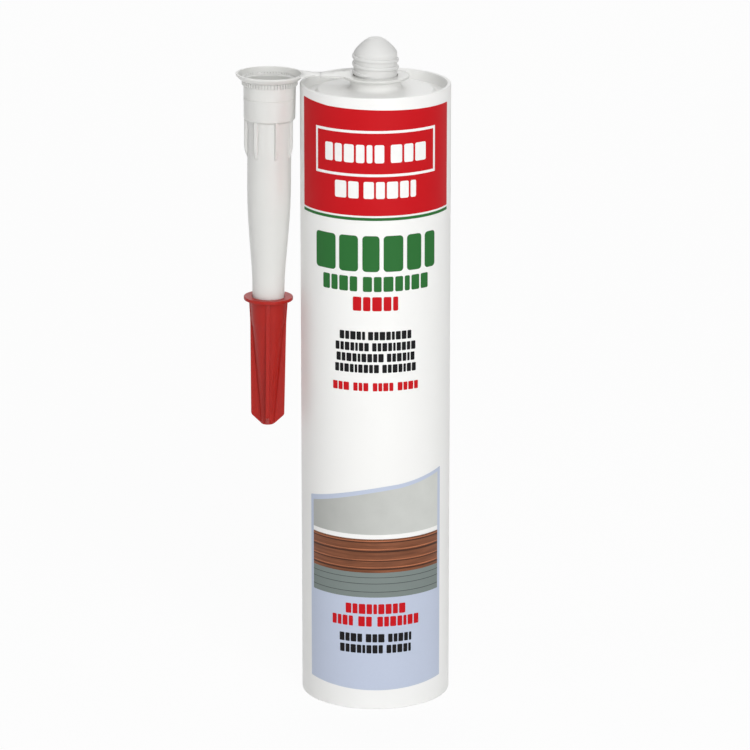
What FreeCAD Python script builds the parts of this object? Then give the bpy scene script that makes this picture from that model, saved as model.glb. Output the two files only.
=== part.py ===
import FreeCAD, Part
import os
import Sketcher

# Sealant cartridge with its nozzle hanging from the neck. Millimetres, +Z up.
# The origin is the centre of the open base, the nozzle hangs on the -X side, and the print
# faces -Y.

SIZES = [
    # barrel and rim
    ("barrel_radius", 25.5, "outside radius of the barrel"),
    ("barrel_length", 215.0, "open base to the top of the rim"),
    ("barrel_wall", 1.5, "wall of the barrel"),
    ("mouth_wall", 1.2, "wall at the open base, where the follower is pushed in"),
    ("mouth_depth", 20.0, "open base up to the end of the wider mouth"),
    ("rim_wall", 1.3, "wall of the rim above the head"),
    ("edge_bevel", 0.3, "bevel of the rim's and base's outer edges"),
    # recessed head
    ("gutter_depth", 3.6, "rim top down to the gutter round the head"),
    ("gutter_width", 3.4, "floor of the gutter"),
    ("plateau_depth", 2.0, "rim top down to the head's flat middle"),
    ("plateau_slope", 1.4, "width of the slope from the gutter up to the middle"),
    ("head_wall", 1.8, "wall of the head"),
    # neck and dome
    ("collar_radius", 8.5, "collar that carries the ring"),
    ("collar_rise", 1.6, "rim top up to the collar's top"),
    ("collar_flare", 1.2, "slope at the foot of the collar"),
    ("neck_radius", 7.3, "root of the neck's thread"),
    ("neck_wall", 1.5, "wall of the neck and dome"),
    ("neck_length", 9.0, "collar top up to the dome"),
    ("dome_height", 4.8, "dome above the neck"),
    ("dome_flat", 2.15, "radius of the flat on the dome"),
    ("dome_bow", 0.45, "how far the dome's side bows out"),
    ("thread_start", 2.4, "collar top up to the middle of the thread's first turn"),
    ("thread_pitch", 2.6, "pitch of the neck's thread"),
    ("thread_turns", 2.2, "turns of the neck's thread"),
    ("thread_depth", 0.55, "thread crest outside its root"),
    ("thread_root", 1.7, "width of the thread at its root"),
    ("thread_crest", 0.5, "width of the thread at its crest"),
    ("thread_sink", 0.2, "how deep the thread is rooted in the neck"),
    # nozzle: ring, strap, lip, sleeve and spout
    ("ring_radius", 11.4, "outside of the ring round the neck"),
    ("ring_thickness", 0.85, "ring and strap"),
    ("ring_clearance", 0.3, "ring to neck, and ring to collar"),
    ("hang_gap", 1.2, "barrel to the sleeve of the hanging nozzle"),
    ("strap_angle", 0.7, "degrees that the strap rises towards the spout"),
    ("strap_width", 8.8, "strap at the ring"),
    ("web_start", 18.5, "neck axis to the thin web of the strap"),
    ("web_width", 6.4, "narrowest width of the strap"),
    ("web_thickness", 0.5, "thin web of the strap"),
    ("web_length", 3.0, "straight stretch of the thin web"),
    ("web_bow", 0.5, "hollow of the web where it widens to the lip"),
    ("strap_root", 10.4, "width of the strap at the lip"),
    ("lip_radius", 11.5, "outside of the flared lip"),
    ("lip_edge", 0.45, "thickness of the lip's edge"),
    ("lip_wall", 0.8, "flat top of the lip"),
    ("flare_depth", 2.4, "lip top down to the foot of the flare"),
    ("flare_bow", 0.35, "hollow of the flare"),
    ("sleeve_radius", 8.9, "outside of the sleeve over the socket"),
    ("sleeve_taper", 0.2, "how much the sleeve narrows downwards"),
    ("sleeve_length", 15.4, "lip top down to the step"),
    ("step_bevel", 0.7, "height of the bevel under the sleeve"),
    ("socket_radius", 8.1, "inside of the socket"),
    ("socket_depth", 14.0, "lip top down to the socket's floor"),
    ("socket_funnel", 1.4, "height of the slope at the socket's floor"),
    ("spout_radius", 7.45, "spout below the step"),
    ("spout_straight", 46.0, "lip top down to where the spout narrows"),
    ("spout_waist_radius", 5.5, "spout above the cap"),
    ("spout_waist", 71.0, "lip top down to the narrow stretch"),
    ("spout_seat", 77.6, "lip top down to the cap's mouth"),
    ("spout_length", 117.2, "lip top down to the closed tip"),
    ("spout_tip_radius", 2.3, "spout at its tip"),
    ("spout_wall", 1.1, "wall of the spout"),
    ("tooth_count", 56, "fine teeth under the lip"),
    ("tooth_width", 0.5, "width of a tooth"),
    ("tooth_reach", 0.5, "tooth outside the sleeve"),
    ("tooth_foot", 4.2, "lip top down to a tooth's foot"),
    ("rib_count", 7, "ribs under the step"),
    ("rib_angle", 19.0, "degrees from the front to the first rib"),
    ("rib_width", 1.0, "width of a rib"),
    ("rib_reach", 0.9, "rib outside the spout"),
    ("rib_fade", 26.0, "lip top down to where a rib starts to fade"),
    ("rib_end", 29.5, "lip top down to a rib's end"),
    ("rib_sink", 0.4, "how deep ribs, teeth and fins are rooted in their wall"),
    # cap
    ("cap_flange_radius", 8.4, "flange round the cap's mouth"),
    ("cap_flange", 1.1, "thickness of the flange"),
    ("cap_collar_radius", 6.55, "collar under the flange"),
    ("cap_collar_foot", 6.05, "collar at its lower end"),
    ("cap_collar_length", 9.0, "mouth down to the collar's end"),
    ("cap_collar_fade", 1.5, "height of the slope from the collar to the core"),
    ("cap_length", 45.3, "mouth down to the end of the cap"),
    ("cap_core_wall", 0.55, "wall of the cap's tapered core"),
    ("cap_clearance", 0.1, "cap to spout"),
    ("cap_tip_radius", 2.3, "flat end of the cap"),
    ("fin_count", 4, "fins along the cap"),
    ("fin_rise", 0.25, "fins outside the collar"),
    ("fin_foot_radius", 5.6, "fins at their lower ends"),
    ("fin_bevel", 3.4, "height of the bevel at the fins' ends"),
    ("fin_width", 1.25, "thickness of a fin"),
    # follower and paste
    ("piston_recess", 24.0, "open base up to the piston's skirt"),
    ("piston_height", 16.0, "skirt of the piston"),
    ("piston_clearance", 0.2, "piston's lips to the barrel"),
    ("piston_lip", 1.6, "height of a sealing lip"),
    ("piston_waist", 0.6, "skirt inside its lips"),
    ("piston_wall", 1.2, "wall of the piston"),
    ("crown_radius", 14.0, "raised middle of the piston's crown"),
    ("crown_rise", 1.4, "height of the raised middle"),
    ("paste_gap", 0.1, "paste to the walls round it"),
    # fields of print
    ("print_film", 0.08, "thickness of a printed layer"),
    ("print_clearance", 0.07, "printed layer to what is under it"),
    ("field_angle", 70.0, "degrees that the red field and green line go to each side"),
    ("red_top", 4.2, "rim top down to the red field"),
    ("red_height", 35.9, "height of the red field"),
    ("red_turn", 16.0, "barrel's middle to where the red field's top edge steepens, on the left"),
    ("red_turn_rise", 0.65, "how far that edge has risen there"),
    ("red_left_rise", 1.6, "how far it has risen at the left corner"),
    ("red_right_drop", 0.4, "how far it has dropped at the right corner"),
    ("line_gap", 0.65, "red field to green line"),
    ("line_height", 1.0, "height of the green line"),
    ("blue_angle", 59.5, "degrees that the blue field goes to each side"),
    ("blue_bottom", 7.0, "open base up to the blue field"),
    ("blue_smile", 1.5, "how far the blue field's bottom edge rises to each side"),
    ("blue_left", 74.0, "open base up to the blue field's left corner"),
    ("blue_right", 83.9, "open base up to the blue field's right corner"),
    ("wave_cross", 8.0, "barrel's middle to where the blue field's top edge turns from hump to dip"),
    ("wave_hump", 1.0, "height of the hump in that edge, on the left"),
    ("wave_dip", 0.3, "depth of the dip in that edge, on the right"),
    ("picture_angle", 56.0, "degrees that the picture goes to each side"),
    ("picture_bottom", 40.6, "open base up to the picture"),
    ("picture_drop", 1.5, "top of the blue field down to the picture"),
    ("board_bottom", 49.5, "open base up to the skirting board"),
    ("board_height", 12.0, "height of the skirting board"),
    ("bead_height", 1.6, "white bead along the top of the board"),
    ("badge_angle", 51.0, "degrees that the white badge goes to each side"),
    ("badge_drop", 11.0, "rim top down to the badge"),
    ("badge_height", 15.7, "height of the badge"),
    ("badge_line", 0.9, "line round the badge"),
    # rows of bars
    ("badge_row_drop", 15.8, "rim top down to the row"),
    ("badge_row_height", 6.2, "height of the row's bars"),
    ("badge_row_angle", 41.0, "degrees that the row goes to each side"),
    ("badge_foot_row_drop", 28.4, "rim top down to the row"),
    ("badge_foot_row_height", 5.8, "height of the row's bars"),
    ("badge_foot_row_angle", 32.0, "degrees that the row goes to each side"),
    ("title_row_drop", 47.0, "rim top down to the row"),
    ("title_row_height", 12.4, "height of the row's bars"),
    ("title_row_angle", 51.0, "degrees that the row goes to each side"),
    ("subtitle_row_drop", 61.1, "rim top down to the row"),
    ("subtitle_row_height", 5.2, "height of the row's bars"),
    ("subtitle_row_angle", 43.5, "degrees that the row goes to each side"),
    ("kind_row_drop", 68.1, "rim top down to the row"),
    ("kind_row_height", 4.9, "height of the row's bars"),
    ("kind_row_angle", 17.4, "degrees that the row goes to each side"),
    ("first_row_drop", 80.2, "rim top down to the row"),
    ("first_row_height", 2.9, "height of the row's bars"),
    ("first_row_angle", 28.2, "degrees that the row goes to each side"),
    ("second_row_drop", 84.1, "rim top down to the row"),
    ("second_row_height", 2.9, "height of the row's bars"),
    ("second_row_angle", 31.8, "degrees that the row goes to each side"),
    ("third_row_drop", 87.9, "rim top down to the row"),
    ("third_row_height", 2.9, "height of the row's bars"),
    ("third_row_angle", 31.0, "degrees that the row goes to each side"),
    ("fourth_row_drop", 91.7, "rim top down to the row"),
    ("fourth_row_height", 2.9, "height of the row's bars"),
    ("fourth_row_angle", 32.2, "degrees that the row goes to each side"),
    ("colour_row_drop", 98.1, "rim top down to the row"),
    ("colour_row_height", 2.9, "height of the row's bars"),
    ("colour_row_angle", 34.2, "degrees that the row goes to each side"),
    ("claim_row_top", 38.2, "open base up to the top of the row"),
    ("claim_row_height", 3.6, "height of the row's bars"),
    ("claim_row_angle", 23.6, "degrees that the row goes to each side"),
    ("second_claim_row_top", 33.7, "open base up to the top of the row"),
    ("second_claim_row_height", 3.6, "height of the row's bars"),
    ("second_claim_row_angle", 35.2, "degrees that the row goes to each side"),
    ("use_row_top", 27.4, "open base up to the top of the row"),
    ("use_row_height", 3.0, "height of the row's bars"),
    ("use_row_angle", 28.8, "degrees that the row goes to each side"),
    ("second_use_row_top", 23.4, "open base up to the top of the row"),
    ("second_use_row_height", 3.0, "height of the row's bars"),
    ("second_use_row_angle", 28.4, "degrees that the row goes to each side"),
]

# Rows of plain bars where a pack carries words: colour, printed layer, the row's top, and
# where each bar starts and ends as shares of the row
BAR_ROWS = {
    "badge_row": ("white", 2, "barrel_length - badge_row_drop", [(0.0, 0.58), (0.64, 1.0)]),
    "badge_foot_row": ("white", 2, "barrel_length - badge_foot_row_drop", [(0.0, 0.3), (0.36, 1.0)]),
    "title_row": (
        "green", 1, "barrel_length - title_row_drop",
        [(0.0, 0.19), (0.22, 0.53), (0.56, 0.71), (0.74, 1.0)]),
    "subtitle_row": ("green", 1, "barrel_length - subtitle_row_drop", [(0.0, 0.34), (0.39, 1.0)]),
    "kind_row": ("red", 1, "barrel_length - kind_row_drop", [(0.0, 1.0)]),
    "first_row": ("black", 1, "barrel_length - first_row_drop", [(0.0, 0.36), (0.4, 1.0)]),
    "second_row": ("black", 1, "barrel_length - second_row_drop", [(0.0, 0.42), (0.46, 1.0)]),
    "third_row": ("black", 1, "barrel_length - third_row_drop", [(0.0, 0.6), (0.64, 1.0)]),
    "fourth_row": ("black", 1, "barrel_length - fourth_row_drop", [(0.0, 0.54), (0.58, 1.0)]),
    "colour_row": (
        "red", 1, "barrel_length - colour_row_drop",
        [(0.0, 0.2), (0.25, 0.42), (0.47, 0.7), (0.75, 1.0)]),
    "claim_row": ("red", 2, "claim_row_top", [(0.0, 1.0)]),
    "second_claim_row": ("red", 2, "second_claim_row_top", [(0.0, 0.25), (0.31, 0.46), (0.52, 1.0)]),
    "use_row": ("black", 2, "use_row_top", [(0.0, 0.32), (0.37, 0.62), (0.67, 1.0)]),
    "second_use_row": ("black", 2, "second_use_row_top", [(0.0, 0.6), (0.65, 1.0)]),
}

# Places that follow from the sizes and are used by more than one piece
BORE = "(barrel_radius - barrel_wall)"
RIM_BORE = "(barrel_radius - rim_wall)"
HEAD_TOP = "(barrel_length - plateau_depth)"
GUTTER = "(barrel_length - gutter_depth)"
PLATEAU_RADIUS = "(barrel_radius - rim_wall - gutter_width - plateau_slope)"
COLLAR_TOP = "(barrel_length + collar_rise)"
NECK_TOP = "(barrel_length + collar_rise + neck_length)"
DOME_TOP = "(barrel_length + collar_rise + neck_length + dome_height)"
NECK_BORE = "(neck_radius - neck_wall)"
RING_TOP = "(barrel_length + collar_rise + ring_clearance + ring_thickness)"
CROWN = "(piston_recess + piston_height)"
STRAP_REACH = "(barrel_radius + hang_gap + sleeve_radius)"
SPOUT_BORE = "(spout_radius - spout_wall)"
WAIST_BORE = "(spout_waist_radius - spout_wall)"
CAP_MOUTH = "(spout_waist_radius + cap_clearance)"
CAP_FOOT = "(spout_seat + cap_length)"

NAMES = {alias for alias, value, note in SIZES}
FULL_TURN = 360
FRONT = -90

doc = FreeCAD.newDocument("cartridge")
sheet = doc.addObject("Spreadsheet::Sheet", "sizes")
for line, (alias, value, note) in enumerate(SIZES, start=1):
    sheet.set(f"A{line}", note)
    sheet.set(f"B{line}", str(value))
    sheet.setAlias(f"B{line}", alias)
doc.recompute()


def bound(text):
    """The expression with each size's name looked up in the spreadsheet."""
    words = []
    word = ""
    for letter in str(text) + " ":
        if letter.isalnum() or letter == "_":
            word += letter
        else:
            words.append(f"sizes.{word}" if word in NAMES else word)
            words.append(letter)
            word = ""
    return "".join(words).strip()


def value_of(text):
    return float(sheet.evalExpression(bound(text)))


def new_body(name):
    body = doc.addObject("PartDesign::Body", name)
    body.Label = name
    return body


def turned_place(axis=(0, 1, 0)):
    """A placement whose turn about the given axis an expression then sets."""
    return FreeCAD.Placement(FreeCAD.Vector(), FreeCAD.Rotation(FreeCAD.Vector(*axis), 1))


def new_sketch(body, name, role, shift="0", turn=None):
    """A sketch on one of the body's origin planes, shifted along x, then turned about its y."""
    sketch = body.newObject("Sketcher::SketchObject", name)
    plane = next(item for item in body.Origin.OriginFeatures if item.Role == role)
    sketch.AttachmentSupport = [(plane, "")]
    sketch.MapMode = "FlatFace"
    sketch.AttachmentOffset = turned_place()
    sketch.setExpression(".AttachmentOffset.Base.x", bound(shift))
    sketch.setExpression(".AttachmentOffset.Rotation.Angle", bound(turn or "0"))
    return sketch


def pin(sketch, edge, end, along, up):
    """Hold an end of an edge at two expressions measured from the sketch's origin."""
    for kind, text in (("DistanceX", along), ("DistanceY", up)):
        number = sketch.addConstraint(Sketcher.Constraint(kind, -1, 1, edge, end, value_of(text)))
        sketch.setExpression(f"Constraints[{number}]", bound(text))


def outline(sketch, corners):
    """Close an outline through corners (along, up). A third entry bows the edge that follows
    outwards to the left of the way along, as an arc of that height."""
    spots = [FreeCAD.Vector(value_of(corner[0]), value_of(corner[1]), 0) for corner in corners]
    joints = []
    for number, corner in enumerate(corners):
        start = spots[number]
        end = spots[(number + 1) % len(spots)]
        if len(corner) == 3:
            along = end - start
            left = FreeCAD.Vector(-along.y, along.x, 0).normalize()
            middle = (start + end) * 0.5 + left * value_of(corner[2])
            edge = sketch.addGeometry(Part.Arc(start, middle, end))
            following = corners[(number + 1) % len(corners)]
            chord = f"((({following[0]}) - ({corner[0]}))^2 + (({following[1]}) - ({corner[1]}))^2)"
            radius = f"abs({chord} / (8 * ({corner[2]})) + ({corner[2]}) / 2)"
            hold = sketch.addConstraint(Sketcher.Constraint("Radius", edge, value_of(radius)))
            sketch.setExpression(f"Constraints[{hold}]", bound(radius))
        else:
            edge = sketch.addGeometry(Part.LineSegment(start, end))
        misses = [(sketch.getPoint(edge, end_number) - start).Length for end_number in (1, 2)]
        first_end = 1 if misses[0] < misses[1] else 2
        joints.append((edge, first_end, 3 - first_end))
        pin(sketch, edge, first_end, corner[0], corner[1])
    for (edge, first_end, last_end), (after, after_first, after_last) in zip(joints, joints[1:] + joints[:1]):
        sketch.addConstraint(Sketcher.Constraint("Coincident", edge, last_end, after, after_first))
    doc.recompute()


def turned(body, name, corners, shift="0", kind="PartDesign::Revolution"):
    """Revolve a half section about the upright axis at the given shift, or groove with it."""
    sketch = new_sketch(body, name + "_section", "XZ_Plane", shift)
    outline(sketch, corners)
    feature = body.newObject(kind, name)
    feature.Profile = (sketch, [""])
    feature.ReferenceAxis = (sketch, ["V_Axis"])
    feature.Angle = FULL_TURN
    sketch.Visibility = False
    doc.recompute()
    return feature


def pad(body, name, sketch, length, midplane=False, reversed_way=False):
    feature = body.newObject("PartDesign::Pad", name)
    feature.Profile = (sketch, [""])
    feature.setExpression("Length", bound(length))
    feature.Midplane = midplane
    feature.Reversed = reversed_way
    doc.recompute()
    return feature


def around(body, name, feature, sketch, count):
    """Repeat a feature around its sketch's upright axis."""
    pattern = body.newObject("PartDesign::PolarPattern", name)
    pattern.Originals = [feature]
    pattern.Axis = (sketch, ["V_Axis"])
    pattern.Angle = FULL_TURN
    pattern.setExpression("Occurrences", bound(count))
    body.Tip = pattern
    doc.recompute()
    return pattern


def hang_from_neck(body):
    """Place a body in the nozzle's own frame: ring centre, top of the ring, tilted by the strap."""
    body.Placement = turned_place()
    body.setExpression(".Placement.Base.z", bound(RING_TOP))
    body.setExpression(".Placement.Rotation.Angle", bound("strap_angle"))


def make_cartridge():
    body = new_body("cartridge")
    turned(body, "shell", [
        ("barrel_radius - mouth_wall", "0"),
        ("barrel_radius - edge_bevel", "0"),
        ("barrel_radius", "edge_bevel"),
        ("barrel_radius", "barrel_length - edge_bevel"),
        ("barrel_radius - edge_bevel", "barrel_length"),
        (RIM_BORE, "barrel_length"),
        (RIM_BORE, GUTTER),
        (f"{RIM_BORE} - gutter_width", GUTTER),
        (PLATEAU_RADIUS, HEAD_TOP),
        ("collar_radius + collar_flare", HEAD_TOP),
        ("collar_radius", f"{HEAD_TOP} + collar_flare"),
        ("collar_radius", COLLAR_TOP),
        ("neck_radius", COLLAR_TOP),
        ("neck_radius", NECK_TOP, "-dome_bow"),
        ("dome_flat", DOME_TOP),
        ("0", DOME_TOP),
        ("0", f"{DOME_TOP} - neck_wall"),
        ("dome_flat", f"{DOME_TOP} - neck_wall", "dome_bow"),
        (NECK_BORE, NECK_TOP),
        (NECK_BORE, f"{HEAD_TOP} - head_wall"),
        (f"{PLATEAU_RADIUS}", f"{HEAD_TOP} - head_wall"),
        (f"{RIM_BORE} - gutter_width", f"{GUTTER} - head_wall"),
        (BORE, f"{GUTTER} - head_wall"),
        (BORE, "mouth_depth + barrel_wall - mouth_wall"),
        ("barrel_radius - mouth_wall", "mouth_depth"),
    ])
    ridge = new_sketch(body, "thread_section", "XZ_Plane")
    outline(ridge, [
        ("-(neck_radius - thread_sink)", f"{COLLAR_TOP} + thread_start - thread_root / 2"),
        ("-(neck_radius - thread_sink)", f"{COLLAR_TOP} + thread_start + thread_root / 2"),
        ("-(neck_radius + thread_depth)", f"{COLLAR_TOP} + thread_start + thread_crest / 2"),
        ("-(neck_radius + thread_depth)", f"{COLLAR_TOP} + thread_start - thread_crest / 2"),
    ])
    thread = body.newObject("PartDesign::AdditiveHelix", "thread")
    thread.Profile = (ridge, [""])
    thread.ReferenceAxis = (ridge, ["V_Axis"])
    thread.Mode = "pitch-turns-angle"
    thread.setExpression("Pitch", bound("thread_pitch"))
    thread.setExpression("Turns", bound("thread_turns"))
    doc.recompute()
    return body


def make_nozzle():
    """Ring, strap, lip, sleeve and spout, drawn downwards from the top of the strap."""
    body = new_body("nozzle")
    spout = f"-{STRAP_REACH}"
    turned(body, "spout", [
        ("0", "0"),
        ("lip_radius", "0"),
        ("lip_radius", "-lip_edge", "flare_bow"),
        ("sleeve_radius", "-flare_depth"),
        ("sleeve_radius - sleeve_taper", "-sleeve_length"),
        ("spout_radius", "-(sleeve_length + step_bevel)"),
        ("spout_radius", "-spout_straight"),
        ("spout_waist_radius", "-spout_waist"),
        ("spout_waist_radius", "-spout_seat"),
        ("spout_tip_radius", "-spout_length"),
        ("0", "-spout_length"),
    ], spout)

    ring = new_sketch(body, "ring_outline", "XY_Plane")
    circle = ring.addGeometry(Part.Circle(FreeCAD.Vector(), FreeCAD.Vector(0, 0, 1), value_of("ring_radius")))
    ring.addConstraint(Sketcher.Constraint("Coincident", circle, 3, -1, 1))
    hold = ring.addConstraint(Sketcher.Constraint("Radius", circle, value_of("ring_radius")))
    ring.setExpression(f"Constraints[{hold}]", bound("ring_radius"))
    pad(body, "ring", ring, "ring_thickness", reversed_way=True)

    strap = new_sketch(body, "strap_outline", "XY_Plane")
    outline(strap, [
        ("-neck_radius - ring_clearance", "-strap_width / 2"),
        ("-web_start", "-web_width / 2"),
        ("-web_start", "web_width / 2"),
        ("-neck_radius - ring_clearance", "strap_width / 2"),
    ])
    pad(body, "strap", strap, "ring_thickness", reversed_way=True)

    web = new_sketch(body, "web_outline", "XY_Plane")
    root = f"-({STRAP_REACH} - (lip_radius^2 - strap_root^2 / 4)^0.5 + lip_wall / 2)"
    outline(web, [
        ("-web_start", "-web_width / 2"),
        ("-(web_start + web_length)", "-web_width / 2", "web_bow"),
        (root, "-strap_root / 2"),
        (root, "strap_root / 2", "web_bow"),
        ("-(web_start + web_length)", "web_width / 2"),
        ("-web_start", "web_width / 2"),
    ])
    pad(body, "web", web, "web_thickness", reversed_way=True)

    tooth_section = new_sketch(body, "tooth_section", "XZ_Plane", spout)
    outline(tooth_section, [
        ("sleeve_radius - rib_sink", "-lip_edge"),
        ("sleeve_radius + tooth_reach", "-lip_edge"),
        ("sleeve_radius + tooth_reach", "-(tooth_foot - tooth_reach)"),
        ("sleeve_radius - rib_sink", "-(tooth_foot + rib_sink)"),
    ])
    tooth = pad(body, "tooth", tooth_section, "tooth_width", midplane=True)
    around(body, "teeth", tooth, tooth_section, "tooth_count")

    rib_section = new_sketch(body, "rib_section", "XZ_Plane", spout, f"rib_angle + ({FRONT})")
    outline(rib_section, [
        ("spout_radius - rib_sink", "-(sleeve_length - step_bevel)"),
        ("spout_radius + rib_reach", "-(sleeve_length - step_bevel)"),
        ("spout_radius + rib_reach", "-rib_fade", "rib_sink"),
        ("spout_radius - rib_sink", "-rib_end"),
    ])
    rib = pad(body, "rib", rib_section, "rib_width", midplane=True)
    around(body, "ribs", rib, rib_section, "rib_count")

    turned(body, "channel", [
        ("0", "ring_thickness"),
        ("lip_radius - lip_wall", "ring_thickness"),
        ("lip_radius - lip_wall", "0", "flare_bow"),
        ("socket_radius", "-flare_depth"),
        ("socket_radius", "-socket_depth"),
        (SPOUT_BORE, "-(socket_depth + socket_funnel)"),
        (SPOUT_BORE, "-spout_straight"),
        (WAIST_BORE, "-spout_waist"),
        (WAIST_BORE, "-spout_seat"),
        ("spout_tip_radius - spout_wall", "-(spout_length - spout_wall)"),
        ("0", "-(spout_length - spout_wall)"),
    ], spout, "PartDesign::Groove")

    turned(body, "ring_hole", [
        ("0", "ring_thickness"),
        ("neck_radius + ring_clearance", "ring_thickness"),
        ("neck_radius + ring_clearance", "-2 * ring_thickness"),
        ("0", "-2 * ring_thickness"),
    ], "0", "PartDesign::Groove")
    hang_from_neck(body)
    return body


def make_cap():
    """Cap on the spout's tip: flange, collar, tapered core and fins, in the nozzle's frame."""
    body = new_body("nozzle_cap")
    spout = f"-{STRAP_REACH}"
    collar_end = "-(spout_seat + cap_collar_length)"
    spout_slope = "((spout_waist_radius - spout_tip_radius) / (spout_length - spout_seat))"
    core_top = f"(spout_waist_radius - cap_collar_length * {spout_slope} + cap_clearance + cap_core_wall)"
    turned(body, "core", [
        ("0", "-spout_seat"),
        ("cap_flange_radius", "-spout_seat"),
        ("cap_flange_radius", "-(spout_seat + cap_flange)"),
        ("cap_collar_radius - fin_rise", "-(spout_seat + cap_flange)"),
        ("cap_collar_foot - fin_rise", collar_end),
        (core_top, f"{collar_end} - cap_collar_fade"),
        ("cap_tip_radius", f"-{CAP_FOOT}"),
        ("0", f"-{CAP_FOOT}"),
    ], spout)

    fin_section = new_sketch(body, "fin_section", "XZ_Plane", spout)
    outline(fin_section, [
        ("cap_tip_radius - rib_sink", "-(spout_seat + cap_flange - rib_sink)"),
        ("cap_collar_radius", "-(spout_seat + cap_flange - rib_sink)"),
        ("cap_collar_foot", collar_end),
        ("fin_foot_radius", f"-({CAP_FOOT} - fin_bevel)"),
        ("cap_tip_radius", f"-{CAP_FOOT}"),
        ("cap_tip_radius - rib_sink", f"-{CAP_FOOT}"),
    ])
    fin = pad(body, "fin", fin_section, "fin_width", midplane=True)
    around(body, "fins", fin, fin_section, "fin_count")

    turned(body, "hollow", [
        ("0", "-spout_seat + cap_flange"),
        (CAP_MOUTH, "-spout_seat + cap_flange"),
        (CAP_MOUTH, "-spout_seat"),
        ("spout_tip_radius + cap_clearance", "-spout_length"),
        ("spout_tip_radius + cap_clearance", "-(spout_length + cap_clearance)"),
        ("0", "-(spout_length + cap_clearance)"),
    ], spout, "PartDesign::Groove")
    hang_from_neck(body)
    return body


def make_piston():
    body = new_body("piston")
    lip = f"({BORE} - piston_clearance)"
    waist = f"({BORE} - piston_clearance - piston_waist)"
    inside = f"({BORE} - piston_clearance - piston_waist - piston_wall)"
    turned(body, "follower", [
        (inside, "piston_recess"),
        (lip, "piston_recess"),
        (lip, "piston_recess + piston_lip"),
        (waist, "piston_recess + piston_lip + piston_waist"),
        (waist, f"{CROWN} - piston_lip - piston_waist"),
        (lip, f"{CROWN} - piston_lip"),
        (lip, CROWN),
        ("crown_radius + crown_rise", CROWN),
        ("crown_radius", f"{CROWN} + crown_rise"),
        ("0", f"{CROWN} + crown_rise"),
        ("0", f"{CROWN} + crown_rise - piston_wall"),
        ("crown_radius", f"{CROWN} + crown_rise - piston_wall"),
        ("crown_radius + crown_rise", f"{CROWN} - piston_wall"),
        (inside, f"{CROWN} - piston_wall"),
    ])
    return body


def make_sealant():
    """The paste, from the piston's crown to the closed end of the neck."""
    body = new_body("sealant")
    turned(body, "paste", [
        ("0", f"{CROWN} + crown_rise + paste_gap"),
        ("crown_radius", f"{CROWN} + crown_rise + paste_gap"),
        ("crown_radius + crown_rise", f"{CROWN} + paste_gap"),
        (f"{BORE} - paste_gap", f"{CROWN} + paste_gap"),
        (f"{BORE} - paste_gap", f"{GUTTER} - head_wall - paste_gap"),
        (f"{RIM_BORE} - gutter_width", f"{GUTTER} - head_wall - paste_gap"),
        (PLATEAU_RADIUS, f"{HEAD_TOP} - head_wall - paste_gap"),
        (f"{NECK_BORE} - paste_gap", f"{HEAD_TOP} - head_wall - paste_gap"),
        (f"{NECK_BORE} - paste_gap", NECK_TOP),
        ("dome_flat - paste_gap", f"{DOME_TOP} - neck_wall - paste_gap"),
        ("0", f"{DOME_TOP} - neck_wall - paste_gap"),
    ])
    return body


def cylinder(name, radius, low, height, sweep=FULL_TURN, start="0"):
    """A cylinder about the barrel's axis, or the part of it between two directions."""
    solid = doc.addObject("Part::Cylinder", name)
    solid.setExpression("Radius", bound(radius))
    solid.setExpression("Height", bound(height))
    solid.setExpression("Angle", bound(sweep))
    solid.Placement = turned_place((0, 0, 1))
    solid.setExpression(".Placement.Base.z", bound(low))
    solid.setExpression(".Placement.Rotation.Angle", bound(start))
    return solid


def layer_radius(layer):
    """The barrel's radius with this many printed layers on it."""
    return f"(barrel_radius + {layer} * (print_clearance + print_film))"


def cut(name, base, tool):
    result = doc.addObject("Part::Cut", name)
    result.Base = base
    result.Tool = tool
    return result


def patch(name, layer, low, height, left, right):
    """A printed patch between two directions, in degrees from the front."""
    sweep = f"({right}) - ({left})"
    block = cylinder(name + "_block", layer_radius(layer), low, height, sweep, f"{FRONT} + ({left})")
    return cut(name, block, cores[layer])


def field(name, layer, corners):
    """A printed field whose outline is drawn in the front view and wrapped on the barrel."""
    front = new_body(name + "_front")
    sketch = new_sketch(front, name + "_outline", "XZ_Plane")
    outline(sketch, corners)
    pad(front, name + "_slab", sketch, "2 * barrel_radius")
    sleeve = cylinder(name + "_sleeve", layer_radius(layer), "0", "barrel_length")
    film = doc.addObject("Part::Common", name)
    film.Base = cut(name + "_skin", sleeve, cores[layer])
    film.Tool = front
    film.Label = name
    return film


def gather(name, pieces):
    """Several like patches as one group of separate solids."""
    group = doc.addObject("Part::Compound", name)
    group.Links = pieces
    group.Label = name
    return group


def waved_field(name, layer, angle, bottom_edge, drop):
    """A field that goes equally far to each side, under the waved edge lowered by drop."""
    half = f"(barrel_radius * sin({angle} * 1deg))"
    climb = f"(blue_right - blue_left) * (wave_cross / {half} + 1) / 2"
    return field(name, layer, [
        (f"-{half}", *bottom_edge),
        (half, bottom_edge[0]),
        (half, f"blue_right - {drop}", "wave_dip"),
        ("wave_cross", f"blue_left + {climb} - {drop}", "-wave_hump"),
        (f"-{half}", f"blue_left - {drop}"),
    ])


def make_fields():
    red_low = "barrel_length - red_top - red_height"
    half = "(barrel_radius * sin(field_angle * 1deg))"
    red = field("print_red_field", 1, [
        (f"-{half}", red_low),
        (half, red_low),
        (half, "barrel_length - red_top - red_right_drop"),
        ("-red_turn", "barrel_length - red_top + red_turn_rise"),
        (f"-{half}", "barrel_length - red_top + red_left_rise"),
    ])
    line_low = f"{red_low} - line_gap - line_height"
    line = patch("print_green_line", 1, line_low, "line_height", "-field_angle", "field_angle")
    blue_edge = ("blue_bottom + blue_smile", "-blue_smile")
    blue = waved_field("print_blue_field", 1, "blue_angle", blue_edge, "0")
    return [red, line, blue]


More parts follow.
